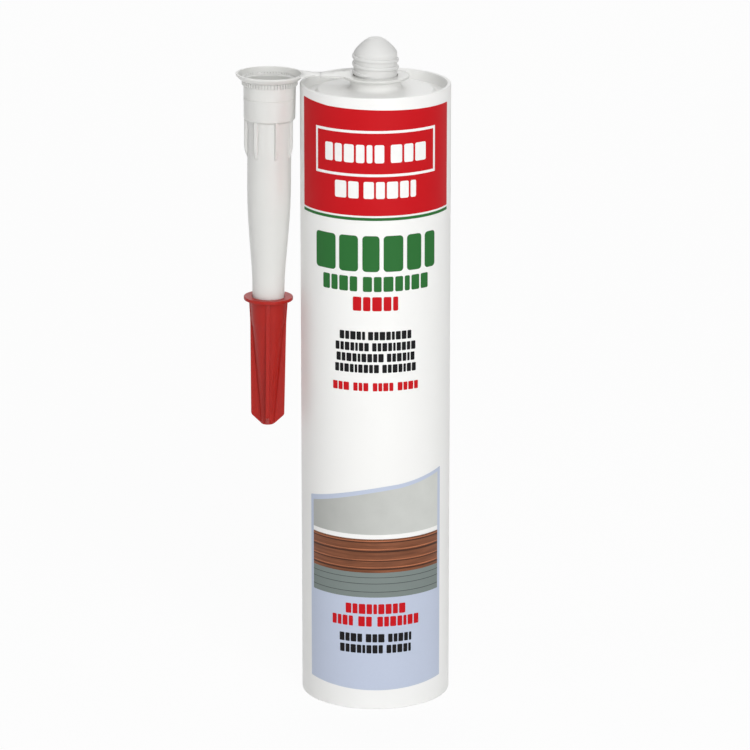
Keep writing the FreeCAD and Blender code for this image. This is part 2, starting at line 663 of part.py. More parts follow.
def make_picture():
    """A plain picture in bands: a floor, a skirting board, a white bead and a pale wall."""
    board_top = "(board_bottom + board_height)"
    bead_top = f"({board_top} + bead_height)"
    floor_height = "board_bottom - picture_bottom"
    floor = patch("print_floor", 2, "picture_bottom", floor_height, "-picture_angle", "picture_angle")
    board = patch("print_board", 2, "board_bottom", "board_height", "-picture_angle", "picture_angle")
    bead = patch("print_bead", 2, board_top, "bead_height", "-picture_angle", "picture_angle")
    wall = waved_field("print_wall", 2, "picture_angle", (bead_top,), "picture_drop")
    return [floor, board, bead, wall]


def make_badge():
    """A plain frame line on the red field."""
    edge = "(badge_line / barrel_radius * 180 / pi)"
    low = "barrel_length - badge_drop - badge_height"
    outer = patch("badge_outer", 2, low, "badge_height", "-badge_angle", "badge_angle")
    window_low = f"{low} + badge_line"
    window_sweep = f"2 * (badge_angle - {edge})"
    inner = cylinder(
        "badge_window", layer_radius(3), window_low, "badge_height - 2 * badge_line",
        window_sweep, f"{FRONT} - badge_angle + {edge}")
    return cut("badge_frame", outer, inner)


def make_marks():
    """The rows of bars, gathered by colour."""
    groups = {"white": [make_badge()]}
    for row, (colour, layer, top, bars) in BAR_ROWS.items():
        for number, (start, end) in enumerate(bars):
            bar = patch(
                f"{row}_{number}", layer, f"{top} - {row}_height", f"{row}_height",
                f"{row}_angle * {2 * start - 1}", f"{row}_angle * {2 * end - 1}")
            groups.setdefault(colour, []).append(bar)
    return [gather(f"print_{colour}_marks", pieces) for colour, pieces in groups.items()]


nodes = [make_cartridge(), make_nozzle(), make_cap(), make_piston(), make_sealant()]
cores = {
    1: cylinder("bare_barrel", f"{layer_radius(0)} + print_clearance", "0", "barrel_length"),
    2: cylinder("printed_barrel", f"{layer_radius(1)} + print_clearance", "0", "barrel_length"),
}
nodes += make_fields() + make_picture() + make_marks()
doc.recompute()

for item in doc.Objects:
    if "Invalid" in item.State or "Error" in item.State:
        raise RuntimeError(f"{item.Name} did not compute: {item.State}")
os.makedirs("parts", exist_ok=True)
for node in nodes:
    if node.Shape.isNull() or not node.Shape.isValid():
        raise RuntimeError(f"{node.Label} has no valid shape")
    node.Shape.exportStep(f"parts/{node.Label}.step")
    print(f"{node.Label:20s} {len(node.Shape.Solids):3d} solids {node.Shape.Volume:12.2f} mm3")
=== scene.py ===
import math

import bmesh
import bpy
from bpy.props import FloatProperty, FloatVectorProperty, IntProperty, PointerProperty
from mathutils import Matrix, Vector


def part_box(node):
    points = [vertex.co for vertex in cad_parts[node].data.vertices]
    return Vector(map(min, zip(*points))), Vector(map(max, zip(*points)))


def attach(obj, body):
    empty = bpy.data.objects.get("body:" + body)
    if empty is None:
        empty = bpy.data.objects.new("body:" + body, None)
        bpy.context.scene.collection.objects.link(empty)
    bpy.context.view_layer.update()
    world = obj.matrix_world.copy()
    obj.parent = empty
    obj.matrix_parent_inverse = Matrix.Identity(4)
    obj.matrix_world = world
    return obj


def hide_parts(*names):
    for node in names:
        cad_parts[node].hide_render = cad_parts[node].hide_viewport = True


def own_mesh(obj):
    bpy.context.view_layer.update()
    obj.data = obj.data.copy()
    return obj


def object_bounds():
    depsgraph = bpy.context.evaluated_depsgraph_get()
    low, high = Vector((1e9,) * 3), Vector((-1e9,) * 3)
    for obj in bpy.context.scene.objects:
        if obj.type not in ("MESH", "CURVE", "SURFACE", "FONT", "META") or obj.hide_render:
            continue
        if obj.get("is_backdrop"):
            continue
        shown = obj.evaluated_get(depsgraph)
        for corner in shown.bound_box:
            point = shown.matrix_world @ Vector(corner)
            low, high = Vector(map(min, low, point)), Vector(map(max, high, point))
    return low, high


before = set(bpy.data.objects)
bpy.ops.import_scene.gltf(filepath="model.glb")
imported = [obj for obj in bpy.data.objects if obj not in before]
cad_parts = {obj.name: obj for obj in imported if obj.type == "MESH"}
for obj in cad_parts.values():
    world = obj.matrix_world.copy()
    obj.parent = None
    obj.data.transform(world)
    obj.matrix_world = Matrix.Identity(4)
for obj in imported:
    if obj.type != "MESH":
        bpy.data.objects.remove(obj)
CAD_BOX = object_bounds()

bl_info = {
    "name": "Sealant Cartridge",
    "version": (1, 0, 0),
    "blender": (4, 5, 0),
    "location": "3D View > Sidebar > Cartridge",
    "description": "A printed sealant cartridge with its nozzle and cap, dressed round its packed model",
    "category": "Add Mesh",
}

# The cartridge stands on its open base, centred on the origin. The print faces -Y and the
# nozzle hangs on the -X side. Everything is in metres.
MM = 0.001
CAD_MIDDLE = (CAD_BOX[0][2] + CAD_BOX[1][2]) / 2

# Fineness of the meshes: steps of a rounded corner, of a bow, of a spun piece, of the ring,
# its hole and the strap's end, and the width of a step round the barrel in the ink
ROUND_STEPS = 5
BOW_STEPS = 12
TURN_STEPS = 256
RING_STEPS = 120
HOLE_STEPS = 96
STRAP_STEPS = 24
INK_STEP = math.radians(1.5)

# Edges sharper than this stay sharp, edges sharper than the next are bevelled, and points
# nearer than the last are one point
SHARP_ANGLE = math.radians(38)
BEVEL_ANGLE = math.radians(30)
SAME_POINT = 1e-6

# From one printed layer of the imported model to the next
CAD_LAYER = 0.15 * MM

# Heights between which the barrel's white darkens into the neck's greyer white, a painted shade on the
# neck
NECK_SHADE_HEIGHTS = (215.5 * MM, 217.5 * MM)

# Widths of neighbouring bars, repeated along a row
BAR_WIDTHS = (1.0, 0.85, 1.1, 0.9, 0.6, 1.0)

# Lines of the board's moulding and of the floor's joints: where each lies, as a share of the
# height, and its thickness in millimetres
BOARD_SHADES = ((0.1, 0.5), (0.34, 0.3), (0.63, 0.6), (0.9, 0.35))
BOARD_LIGHTS = ((0.15, 0.25), (0.38, 0.2), (0.69, 0.3), (0.94, 0.25))
FLOOR_JOINTS = ((0.22, 0.24), (0.55, 0.24), (0.8, 0.24))

# How light those lines are, as shares of the colour under them
SHADE_TONE = 0.3
LIGHT_TONE = 2.2
JOINT_TONE = 0.45

# Rounding of the corners of a field, of the pictures and of a thin line
FIELD_CORNER = 0.5 * MM
BLUE_CORNER = 0.3 * MM
GREEN_CORNER = 0.2 * MM
PICTURE_CORNER = 0.1 * MM
LINE_CORNER = 0.05 * MM
BADGE_CORNER = 0.02 * MM

# A tall bar's corners are rounded by this share of its height, a lower one's by no more
BAR_ROUND = 0.1
TALL_BAR = 4 * MM

# How much of the paper the camera sees as plain white
PAPER_WHITE = 0.93

# Light: the strength of the room, then each lamp's direction and height in degrees, distance,
# width and height in metres, and watts
AMBIENT = 0.22
LAMPS = (
    ("key", 16.0, 22.0, 2.0, 1.1, 1.6, 26.0),
    ("left_strip", -64.0, 12.0, 1.5, 0.3, 1.3, 3.0),
    ("overhead", 0.0, 80.0, 1.8, 2.2, 2.2, 9.5),
    ("back", 180.0, 35.0, 2.0, 1.6, 1.6, 12.0),
)


def linear(hex_code):
    """An sRGB hex colour as linear red, green and blue, with full opacity."""
    channels = [int(hex_code[place:place + 2], 16) / 255 for place in (1, 3, 5)]
    straight = [c / 12.92 if c <= 0.04045 else ((c + 0.055) / 1.055) ** 2.4 for c in channels]
    return (*straight, 1.0)


def length(name, description, millimetres):
    return FloatProperty(
        name=name, description=description, default=millimetres * MM, precision=5, unit="LENGTH")


def angle(name, description, degrees):
    return FloatProperty(
        name=name, description=description, default=math.radians(degrees), subtype="ANGLE")


def colour(name, description, hex_code):
    return FloatVectorProperty(
        name=name, description=description, size=4, min=0.0, max=1.0,
        default=linear(hex_code), subtype="COLOR")


class BarrelSizes(bpy.types.PropertyGroup):
    radius: length("Radius", "Outside radius of the barrel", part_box("cartridge")[1].x / MM)
    length: length("Length", "Open base to the top of the rim", 215.0)
    wall: length("Wall", "Wall of the barrel", 1.5)
    mouth_wall: length("Mouth Wall", "Wall at the open base", 1.2)
    mouth_depth: length("Mouth Depth", "Open base up to the end of the wider mouth", 20.0)
    rim_wall: length("Rim Wall", "Wall of the rim above the head", 1.3)
    edge: length("Edge", "Rounding of the rim and the base", 0.3)
    gutter_depth: length("Gutter Depth", "Rim top down to the gutter", 3.6)
    gutter_width: length("Gutter Width", "Floor of the gutter", 3.4)
    plateau_depth: length("Plateau Depth", "Rim top down to the middle of the head", 2.0)
    plateau_slope: length("Plateau Slope", "Width of the slope from the gutter up", 1.4)
    head_wall: length("Head Wall", "Wall of the head", 1.8)


class NeckSizes(bpy.types.PropertyGroup):
    collar_radius: length("Collar Radius", "Collar that carries the ring", 8.5)
    collar_rise: length("Collar Rise", "Rim top up to the collar's top", 1.6)
    collar_flare: length("Collar Flare", "Hollow at the foot of the collar", 1.2)
    radius: length("Radius", "Root of the thread", 7.3)
    wall: length("Wall", "Wall of the neck and dome", 1.5)
    length: length("Length", "Collar top up to the dome", 9.0)
    dome_height: length("Dome Height", "Dome above the neck", 4.8)
    dome_flat: length("Dome Flat", "Radius of the flat on the dome", 2.15)
    dome_bow: length("Dome Bow", "How far the dome's side bows out", 0.45)
    thread_start: length("Thread Start", "Collar top up to the first turn", 1.75)
    thread_pitch: length("Thread Pitch", "Rise of the thread in one turn", 2.6)
    thread_turns: FloatProperty(name="Thread Turns", description="Turns of the thread", default=2.6)
    thread_depth: length("Thread Depth", "Crest outside the root", 0.55)
    thread_root: length("Thread Root", "Width of the thread at its root", 2.1)
    thread_crest: length("Thread Crest", "Width of the thread at its crest", 0.9)
    thread_round: length("Thread Round", "Rounding of the crest", 0.35)
    thread_sink: length("Thread Sink", "How deep the thread is rooted in the neck", 0.2)
    thread_taper: FloatProperty(
        name="Thread Taper", description="Share that each end fades over", default=0.04)


class NozzleSizes(bpy.types.PropertyGroup):
    ring_radius: length("Ring Radius", "Outside of the ring round the neck", 11.4)
    ring_thickness: length("Ring Thickness", "Ring and strap", 0.85)
    ring_clearance: length("Ring Clearance", "Ring to neck, and ring to collar", 0.3)
    strap_tilt: angle("Strap Tilt", "How far the strap rises towards the spout", 0.7)
    strap_width: length("Strap Width", "Strap at the ring", 8.8)
    web_start: length("Web Start", "Neck axis to the thin web", 18.5)
    web_width: length("Web Width", "Narrowest width of the strap", 6.4)
    web_thickness: length("Web Thickness", "Thin web of the strap", 0.5)
    web_length: length("Web Length", "Straight stretch of the web", 3.0)
    web_bow: length("Web Bow", "Hollow of the web where it widens", 0.5)
    strap_root: length("Strap Root", "Width of the strap at the lip", 10.4)
    plate_edge: length("Plate Edge", "Rounding of the strap's edges", 0.14)
    hang_gap: length("Hang Gap", "Barrel to the sleeve of the hanging nozzle", 1.2)
    lip_radius: length("Lip Radius", "Outside of the flared lip", 11.5)
    lip_edge: length("Lip Edge", "Thickness of the lip's edge", 0.45)
    lip_wall: length("Lip Wall", "Flat top of the lip", 0.8)
    flare_depth: length("Flare Depth", "Lip top down to the foot of the flare", 2.4)
    flare_bow: length("Flare Bow", "Hollow of the flare", 0.35)
    sleeve_radius: length("Sleeve Radius", "Outside of the sleeve", 8.9)
    sleeve_taper: length("Sleeve Taper", "How much the sleeve narrows downwards", 0.2)
    sleeve_length: length("Sleeve Length", "Lip top down to the step", 15.4)
    step_bevel: length("Step Bevel", "Height of the bevel under the sleeve", 0.7)
    socket_radius: length("Socket Radius", "Inside of the socket", 8.1)
    socket_depth: length("Socket Depth", "Lip top down to the socket's floor", 14.0)
    socket_funnel: length("Socket Funnel", "Height of the slope at that floor", 1.4)
    spout_radius: length("Spout Radius", "Spout below the step", 7.45)
    spout_straight: length("Spout Straight", "Lip top down to where the spout narrows", 46.0)
    waist_radius: length("Waist Radius", "Spout above the cap", 5.5)
    waist: length("Waist", "Lip top down to the narrow stretch", 71.0)
    seat: length("Seat", "Lip top down to the cap's mouth", 77.6)
    spout_length: length("Spout Length", "Lip top down to the closed tip", 117.2)
    tip_radius: length("Tip Radius", "Spout at its tip", 2.3)
    wall: length("Wall", "Wall of the spout", 1.1)
    seam_depth: length("Seam Depth", "Lip top down to the fine line round the sleeve", 8.2)
    seam: length("Seam", "Width and depth of that line", 0.14)
    tooth_count: IntProperty(name="Tooth Count", description="Fine teeth under the lip", default=56)
    tooth_width: length("Tooth Width", "Width of a tooth", 0.5)
    tooth_reach: length("Tooth Reach", "Tooth outside the sleeve", 0.5)
    tooth_top: length("Tooth Top", "Lip top down to a tooth's top, inside the flare", 1.4)
    tooth_root: length("Tooth Root", "How far a tooth's top reaches into the flare", 0.35)
    tooth_foot: length("Tooth Foot", "Lip top down to a tooth's foot", 4.2)
    rib_count: IntProperty(name="Rib Count", description="Ribs under the step", default=7)
    rib_turn: angle("Rib Turn", "From the front to the first rib", 19.0)
    rib_width: length("Rib Width", "Width of a rib", 1.0)
    rib_reach: length("Rib Reach", "Rib outside the spout", 0.9)
    rib_fade: length("Rib Fade", "Lip top down to where a rib fades", 26.0)
    rib_end: length("Rib End", "Lip top down to a rib's end", 29.5)
    root_sink: length("Root Sink", "How deep ribs, teeth and fins are rooted", 0.4)


class FollowerSizes(bpy.types.PropertyGroup):
    lip: length("Lip", "Height of a sealing lip", 1.6)
    waist: length("Waist", "Skirt inside its lips", 0.6)
    wall: length("Wall", "Wall of the follower", 1.2)
    crown_radius: length("Crown Radius", "Raised middle of the crown", 14.0)
    crown_rise: length("Crown Rise", "Height of the raised middle", 1.4)
    paste_gap: length("Paste Gap", "Paste to the walls round it", 0.1)


class CapSizes(bpy.types.PropertyGroup):
    flange_radius: length("Flange Radius", "Flange round the cap's mouth", 8.4)
    flange: length("Flange", "Thickness of the flange", 1.1)
    collar_radius: length("Collar Radius", "Collar under the flange", 6.55)
    collar_foot: length("Collar Foot", "Collar at its lower end", 6.05)
    collar_length: length("Collar Length", "Mouth down to the collar's end", 9.0)
    collar_fade: length("Collar Fade", "Height of the slope from the collar to the core", 1.5)
    length: length("Length", "Mouth down to the end of the cap", 45.3)
    core_wall: length("Core Wall", "Wall of the tapered core", 0.55)
    clearance: length("Clearance", "Cap to spout", 0.1)
    tip_radius: length("Tip Radius", "Flat end of the cap", 2.3)
    fin_count: IntProperty(name="Fin Count", description="Fins along the cap", default=4)
    fin_rise: length("Fin Rise", "Fins outside the collar", 0.25)
    fin_root: length("Fin Root", "How deep the fins are rooted in the core", 0.3)
    fin_foot: length("Fin Foot", "Fins at their lower ends", 5.6)
    fin_bevel: length("Fin Bevel", "Height of the bevel at the fins' ends", 3.4)
    fin_width: length("Fin Width", "Thickness of a fin", 1.25)


class PrintSizes(bpy.types.PropertyGroup):
    film: length("Film", "Thickness of a layer of ink", 0.02)
    lift: length("Lift", "Barrel to the first layer of ink", 0.01)
    corner: length("Corner", "Rounding of the bars' corners", 0.35)
    bar_gap: FloatProperty(
        name="Bar Gap", description="Gap between bars as a share of their height", default=0.12)
    bar_pitch: FloatProperty(
        name="Bar Pitch", description="Width of a bar as a share of its height", default=0.62)
    badge_line: length("Badge Line", "Line round the badge", 0.9)
    red_top: length("Red Top", "Rim top down to the red field", 4.2)
    red_turn: length("Red Turn", "Middle to where the red field's top edge steepens", 16.0)
    red_turn_rise: length("Red Turn Rise", "How far that edge has risen there", 0.65)
    red_left_rise: length("Red Left Rise", "How far it has risen at the left corner", 1.6)
    red_right_drop: length("Red Right Drop", "How far it has dropped at the right corner", 0.4)
    blue_smile: length("Blue Smile", "How far the blue field's bottom edge rises to each side", 1.5)
    blue_left: length("Blue Left", "Base up to the blue field's left corner", 74.0)
    blue_right: length("Blue Right", "Base up to the blue field's right corner", 83.9)
    wave_cross: length("Wave Cross", "Middle to where the edge turns from hump to dip", 8.0)
    wave_hump: length("Wave Hump", "Height of the hump in that edge", 1.0)
    wave_dip: length("Wave Dip", "Depth of the dip in that edge", 0.3)
    picture_drop: length("Picture Drop", "Top of the blue field down to the picture", 1.5)


class Finishes(bpy.types.PropertyGroup):
    cartridge: colour("Cartridge", "White of the barrel and neck", "#F4F4F2")
    # The nozzle's white is toned down to a light grey, a painted shade over the whole nozzle, strap,
    # teeth and ribs
    nozzle: colour("Nozzle", "White of the nozzle and strap", "#DDDDDA")
    cap: colour("Cap", "Red of the cap", "#AE2119")
    piston: colour("Piston", "Natural plastic of the follower", "#E6E5DC")
    paste: colour("Paste", "White of the paste", "#F2F1EC")
    red_ink: colour("Red Ink", "Field and rows of red", "#C6151D")
    green_ink: colour("Green Ink", "Line and rows of green", "#2F6E36")
    blue_ink: colour("Blue Ink", "Pale field behind the picture", "#C1CADD")
    black_ink: colour("Black Ink", "Rows of black", "#1B1A1C")
    white_ink: colour("White Ink", "Badge and rows of white", "#F5F5F3")
    brown_ink: colour("Brown Ink", "Skirting board in the picture", "#7D4B32")
    floor_ink: colour("Floor Ink", "Floor in the picture", "#7E8885")
    wall_ink: colour("Wall Ink", "Wall in the picture", "#C9CBC7")


class StageSizes(bpy.types.PropertyGroup):
    eye_aside: length("Eye Aside", "Camera's place along X", -0.165)
    eye_distance: length("Eye Distance", "Camera in front of the barrel's axis", 1501.96)
    eye_height: length("Eye Height", "Camera above the floor", 540.98)
    pitch: angle("Pitch", "How far the camera looks down", 15.9225)
    lens: FloatProperty(
        name="Lens", description="Focal length in millimetres on a 36 mm sensor", default=218.57)
    floor: colour("Floor", "Paper that the cartridge stands on", "#F2F2F2")


def add_node(tree, kind, inputs=None, **settings):
    """Add a node, set its own settings, and link or set each named or numbered input."""
    node = tree.nodes.new(kind)
    for name, value in settings.items():
        setattr(node, name, value)
    for key, value in (inputs or {}).items():
        if isinstance(value, bpy.types.NodeSocket):
            tree.links.new(value, node.inputs[key])
        else:
            node.inputs[key].default_value = value
    return node


def maths(tree, operation, *values):
    """The output of a math node on numbers or other outputs."""
    return add_node(tree, "ShaderNodeMath", dict(enumerate(values)), operation=operation).outputs["Value"]


def toned(base, share):
    """A colour made darker or lighter by a share, with full opacity."""
    return (*[min(channel * share, 1.0) for channel in base[:3]], 1.0)


def bare_material(name, base, roughness, ior, specular):
    """A material with its shader set, and the coordinates that its patterns read."""
    material = bpy.data.materials.new(name)
    material.use_nodes = True
    tree = material.node_tree
    shader = tree.nodes["Principled BSDF"]
    surface = {"Base Color": base, "Roughness": roughness, "IOR": ior, "Specular IOR Level": specular}
    for label, value in surface.items():
        shader.inputs[label].default_value = value
    place = add_node(tree, "ShaderNodeTexCoord").outputs["Object"]
    return material, tree, shader, place


def lit_within(shader, weight, tint, depth):
    """Let light travel a little way under the surface."""
    shader.inputs["Subsurface Weight"].default_value = weight
    shader.inputs["Subsurface Radius"].default_value = tint
    shader.inputs["Subsurface Scale"].default_value = depth


def grained(tree, shader, place, grain, depth):
    """Bump of a fine moulded grain, both sizes in metres."""
    noise = add_node(tree, "ShaderNodeTexNoise", {"Vector": place, "Scale": 1 / grain, "Detail": 3.0})
    bump = add_node(tree, "ShaderNodeBump", {
        "Height": noise.outputs["Fac"], "Strength": 1.0, "Distance": depth})
    tree.links.new(bump.outputs["Normal"], shader.inputs["Normal"])


def mottled(tree, shader, place, base, patch, darkest):
    """Colour that wanders between the base and a slightly darker tone over patches of a size."""
    noise = add_node(tree, "ShaderNodeTexNoise", {"Vector": place, "Scale": 1 / patch, "Detail": 2.0})
    mix = add_node(tree, "ShaderNodeMix", {
        0: noise.outputs["Fac"], 6: toned(base, darkest), 7: base}, data_type="RGBA")
    tree.links.new(mix.outputs[2], shader.inputs["Base Color"])
    return mix.outputs[2]


def moulded_hdpe(base):
    """Injection-moulded HDPE: satin white with a fine grain and a little light under its skin.
    Above the rim its white is darkened to a grey, a painted shade on the neck and its thread."""
    material, tree, shader, place = bare_material(
        "moulded_hdpe", base, roughness=0.42, ior=1.54, specular=0.25)
    lit_within(shader, 0.12, (1.0, 1.0, 0.95), 1.2 * MM)
    grained(tree, shader, place, grain=0.5 * MM, depth=0.004 * MM)
    tone = mottled(tree, shader, place, base, patch=30 * MM, darkest=0.975)
    parts = add_node(tree, "ShaderNodeSeparateXYZ", {"Vector": place})
    # Painted shade: above the rim the base colour is scaled down to 0.84, greying the neck and its thread
    thin = add_node(tree, "ShaderNodeMapRange", {
        "Value": parts.outputs["Z"], "From Min": NECK_SHADE_HEIGHTS[0], "From Max": NECK_SHADE_HEIGHTS[1],
        "To Min": 1.0, "To Max": 0.84})
    dimmed = add_node(tree, "ShaderNodeVectorMath", {
        0: tone, "Scale": thin.outputs["Result"]}, operation="SCALE")
    tree.links.new(dimmed.outputs["Vector"], shader.inputs["Base Color"])
    return material


def moulded_ldpe(base):
    """Injection-moulded LDPE: softer and milkier than the barrel, with a waxy highlight."""
    material, tree, shader, place = bare_material(
        "moulded_ldpe", base, roughness=0.3, ior=1.51, specular=0.85)
    lit_within(shader, 0.35, (1.0, 1.0, 0.97), 1.5 * MM)
    grained(tree, shader, place, grain=0.7 * MM, depth=0.006 * MM)
    mottled(tree, shader, place, base, patch=12 * MM, darkest=0.96)
    return material


def soft_red_ldpe(base):
    """Red LDPE of the cap: thin fins let light through, so they look more orange than the core."""
    material, tree, shader, place = bare_material(
        "soft_red_ldpe", base, roughness=0.4, ior=1.51, specular=0.25)
    lit_within(shader, 0.3, (1.0, 0.25, 0.08), 1.6 * MM)
    grained(tree, shader, place, grain=0.6 * MM, depth=0.006 * MM)
    mottled(tree, shader, place, base, patch=9 * MM, darkest=0.88)
    return material


def natural_ldpe(base):
    """Unpigmented LDPE of the follower: translucent and slightly yellow."""
    material, tree, shader, place = bare_material(
        "natural_ldpe", base, roughness=0.38, ior=1.51, specular=0.45)
    lit_within(shader, 0.5, (1.0, 0.95, 0.8), 2.0 * MM)
    grained(tree, shader, place, grain=0.8 * MM, depth=0.008 * MM)
    mottled(tree, shader, place, base, patch=10 * MM, darkest=0.94)
    return material


def acrylic_paste(base):
    """Wet acrylic sealant: dense white with a soft gloss and slow swirls."""
    material, tree, shader, place = bare_material(
        "acrylic_paste", base, roughness=0.25, ior=1.45, specular=0.5)
    grained(tree, shader, place, grain=4 * MM, depth=0.05 * MM)
    mottled(tree, shader, place, base, patch=15 * MM, darkest=0.96)
    return material


def printed_ink(name, base):
    """Screen-printed ink on satin plastic: dense colour, a low even sheen and faint speckle."""
    material, tree, shader, place = bare_material(name, base, roughness=0.5, ior=1.5, specular=0.1)
    grained(tree, shader, place, grain=0.35 * MM, depth=0.002 * MM)
    mottled(tree, shader, place, base, patch=0.8 * MM, darkest=0.96)
    return material


def printed_wood(base):
    """Ink picture of a stained board: grain streaks that run along it, a few tenths of a
    millimetre apart so that they show."""
    material, tree, shader, place = bare_material(
        "printed_wood", base, roughness=0.42, ior=1.5, specular=0.22)
    stretch = add_node(tree, "ShaderNodeMapping", {"Vector": place, "Scale": (60.0, 60.0, 1100.0)})
    streaks = add_node(tree, "ShaderNodeTexNoise", {
        "Vector": stretch.outputs["Vector"], "Scale": 1.0, "Detail": 5.0, "Roughness": 0.65,
        "Distortion": 0.4})
    ramp = add_node(tree, "ShaderNodeValToRGB", {"Fac": streaks.outputs["Fac"]})
    for stop, position, tone in zip(ramp.color_ramp.elements, (0.3, 0.7), (0.62, 1.35)):
        stop.position = position
        stop.color = toned(base, tone)
    tree.links.new(ramp.outputs["Color"], shader.inputs["Base Color"])
    return material


def printed_wall(base):
    """Ink picture of a plastered wall that is lighter towards the right, with soft clouding."""
    material, tree, shader, place = bare_material(
        "printed_wall", base, roughness=0.42, ior=1.5, specular=0.22)
    side = 22 * MM
    cloud = 6 * MM
    parts = add_node(tree, "ShaderNodeSeparateXYZ", {"Vector": place})
    across = add_node(tree, "ShaderNodeMapRange", {
        "Value": parts.outputs["X"], "From Min": -side, "From Max": side, "To Min": 0.72, "To Max": 1.08})
    clouds = add_node(tree, "ShaderNodeTexNoise", {"Vector": place, "Scale": 1 / cloud, "Detail": 4.0})
    soft = add_node(tree, "ShaderNodeMapRange", {
        "Value": clouds.outputs["Fac"], "To Min": 0.93, "To Max": 1.07})
    shade = maths(tree, "MULTIPLY", across.outputs["Result"], soft.outputs["Result"])
    tint = add_node(tree, "ShaderNodeVectorMath", {0: base[:3], "Scale": shade}, operation="SCALE")
    tree.links.new(tint.outputs["Vector"], shader.inputs["Base Color"])
    return material


def studio_paper(base):
    """Matt pale paper. The camera and reflections see it as nearly white, and it still takes
    the cartridge's soft shadow."""
    material, tree, shader, _ = bare_material(
        "studio_paper", base, roughness=0.9, ior=1.45, specular=0.0)
    white = add_node(tree, "ShaderNodeEmission", {"Color": (1.0, 1.0, 1.0, 1.0), "Strength": 1.0})
    path = add_node(tree, "ShaderNodeLightPath")
    seen = maths(tree, "MAXIMUM", path.outputs["Is Camera Ray"], path.outputs["Is Glossy Ray"])
    seen = maths(tree, "MAXIMUM", seen, path.outputs["Is Transmission Ray"])
    mix = add_node(tree, "ShaderNodeMixShader", {
        0: maths(tree, "MULTIPLY", seen, PAPER_WHITE), 1: shader.outputs["BSDF"],
        2: white.outputs["Emission"]})
    tree.links.new(mix.outputs["Shader"], tree.nodes["Material Output"].inputs["Surface"])
    return material


def material_once(maker, *values):
    """The material that the maker makes, made once and then shared between pieces."""
    key = f"{maker.__name__}_{values}"
    for material in bpy.data.materials:
        if material.get("made_by") == key:
            return material
    material = maker(*values)
    material["made_by"] = key
    return material


def rounded(corners):
    """Points of an open outline whose corners (radius, height, cut) are rounded: the round
    starts and ends that far from the corner, or at the middle of a shorter side."""
    points = []
    for number, corner in enumerate(corners):
        here = Vector(corner[:2])
        cut = corner[2] if len(corner) > 2 else 0.0
        if not cut or number in (0, len(corners) - 1):
            points.append(here)
            continue
        before = Vector(corners[number - 1][:2]) - here
        after = Vector(corners[number + 1][:2]) - here
        start = here + before.normalized() * min(cut, before.length / 2)
        end = here + after.normalized() * min(cut, after.length / 2)
        for step in range(ROUND_STEPS + 1):
            share = step / ROUND_STEPS
            points.append(start * (1 - share) ** 2 + here * 2 * share * (1 - share) + end * share ** 2)
    return points


def bowed(start, end, height):
    """Points strictly between two ends of a circular arc that bows to the left by a height."""
    start = Vector(start[:2])
    end = Vector(end[:2])
    along = end - start
    left = Vector((-along.y, along.x)).normalized()
    reach = along.length / 2
    radius = (reach ** 2 + height ** 2) / (2 * height)
    middle = (start + end) / 2 + left * (height - radius)
    points = []
    for step in range(1, BOW_STEPS):
        offset = along.normalized() * reach * (2 * step / BOW_STEPS - 1)
        rise = math.copysign(math.sqrt(radius ** 2 - offset.length ** 2), radius)
        points.append(tuple(middle + offset + left * rise))
    return points


def lathe(mesh, outline, axis=0.0):
    """Spin an outline of (radius, height) about an upright axis at X = axis. Points on the
    axis become poles."""
    turns = [2 * math.pi * step / TURN_STEPS for step in range(TURN_STEPS)]
    rings = []
    for radius, height in outline:
        if radius < SAME_POINT:
            rings.append([mesh.verts.new((axis, 0.0, height))])
        else:
            rings.append([
                mesh.verts.new((axis + radius * math.cos(turn), radius * math.sin(turn), height))
                for turn in turns])
    for ring, after in zip(rings, rings[1:]):
        for step in range(TURN_STEPS):
            following = (step + 1) % TURN_STEPS
            corners = [
                ring[step % len(ring)], after[step % len(after)],
                after[following % len(after)], ring[following % len(ring)]]
            mesh.faces.new(list(dict.fromkeys(corners)))


def new_object(name, data):
    piece = bpy.data.objects.new(name, data)
    bpy.context.scene.collection.objects.link(piece)
    return piece


def finished(name, mesh, material, place=Matrix()):
    """Turn a built mesh into a piece: outward faces, smooth but for its sharp edges."""
    bmesh.ops.recalc_face_normals(mesh, faces=mesh.faces)
    for face in mesh.faces:
        face.smooth = True
    for edge in mesh.edges:
        edge.smooth = edge.is_manifold and edge.calc_face_angle() < SHARP_ANGLE
    mesh.transform(place)
    data = bpy.data.meshes.new(name)
    mesh.to_mesh(data)
    mesh.free()
    data.materials.append(material)
    return new_object(name, data)


def turned(name, corners, material, place=Matrix()):
    """A piece spun from an outline whose corners are rounded."""
    mesh = bmesh.new()
    lathe(mesh, rounded(corners))
    return finished(name, mesh, material, place)


def dressed(piece, body, slot, *nodes):
    """Say what the piece rides on and hide the solids that it stands for. The slot is not used."""
    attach(piece, body)
    if nodes:
        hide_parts(*nodes)


def new_tree(name, inputs):
    """A geometry tree with named inputs, and its group input and output nodes."""
    tree = bpy.data.node_groups.new(name, "GeometryNodeTree")
    for label, kind in inputs.items():
        tree.interface.new_socket(label, in_out="INPUT", socket_type=kind)
    tree.interface.new_socket("Geometry", in_out="OUTPUT", socket_type="NodeSocketGeometry")
    given = add_node(tree, "NodeGroupInput").outputs
    return tree, given


def close_tree(tree, geometry, material):
    """End a tree in Realize Instances and Set Material."""
    real = add_node(tree, "GeometryNodeRealizeInstances", {"Geometry": geometry})
    smooth = add_node(tree, "GeometryNodeSetShadeSmooth", {"Geometry": real.outputs["Geometry"]})
    made = add_node(tree, "GeometryNodeSetMaterial", {
        "Geometry": smooth.outputs["Geometry"], "Material": material})
    add_node(tree, "NodeGroupOutput", {"Geometry": made.outputs["Geometry"]})


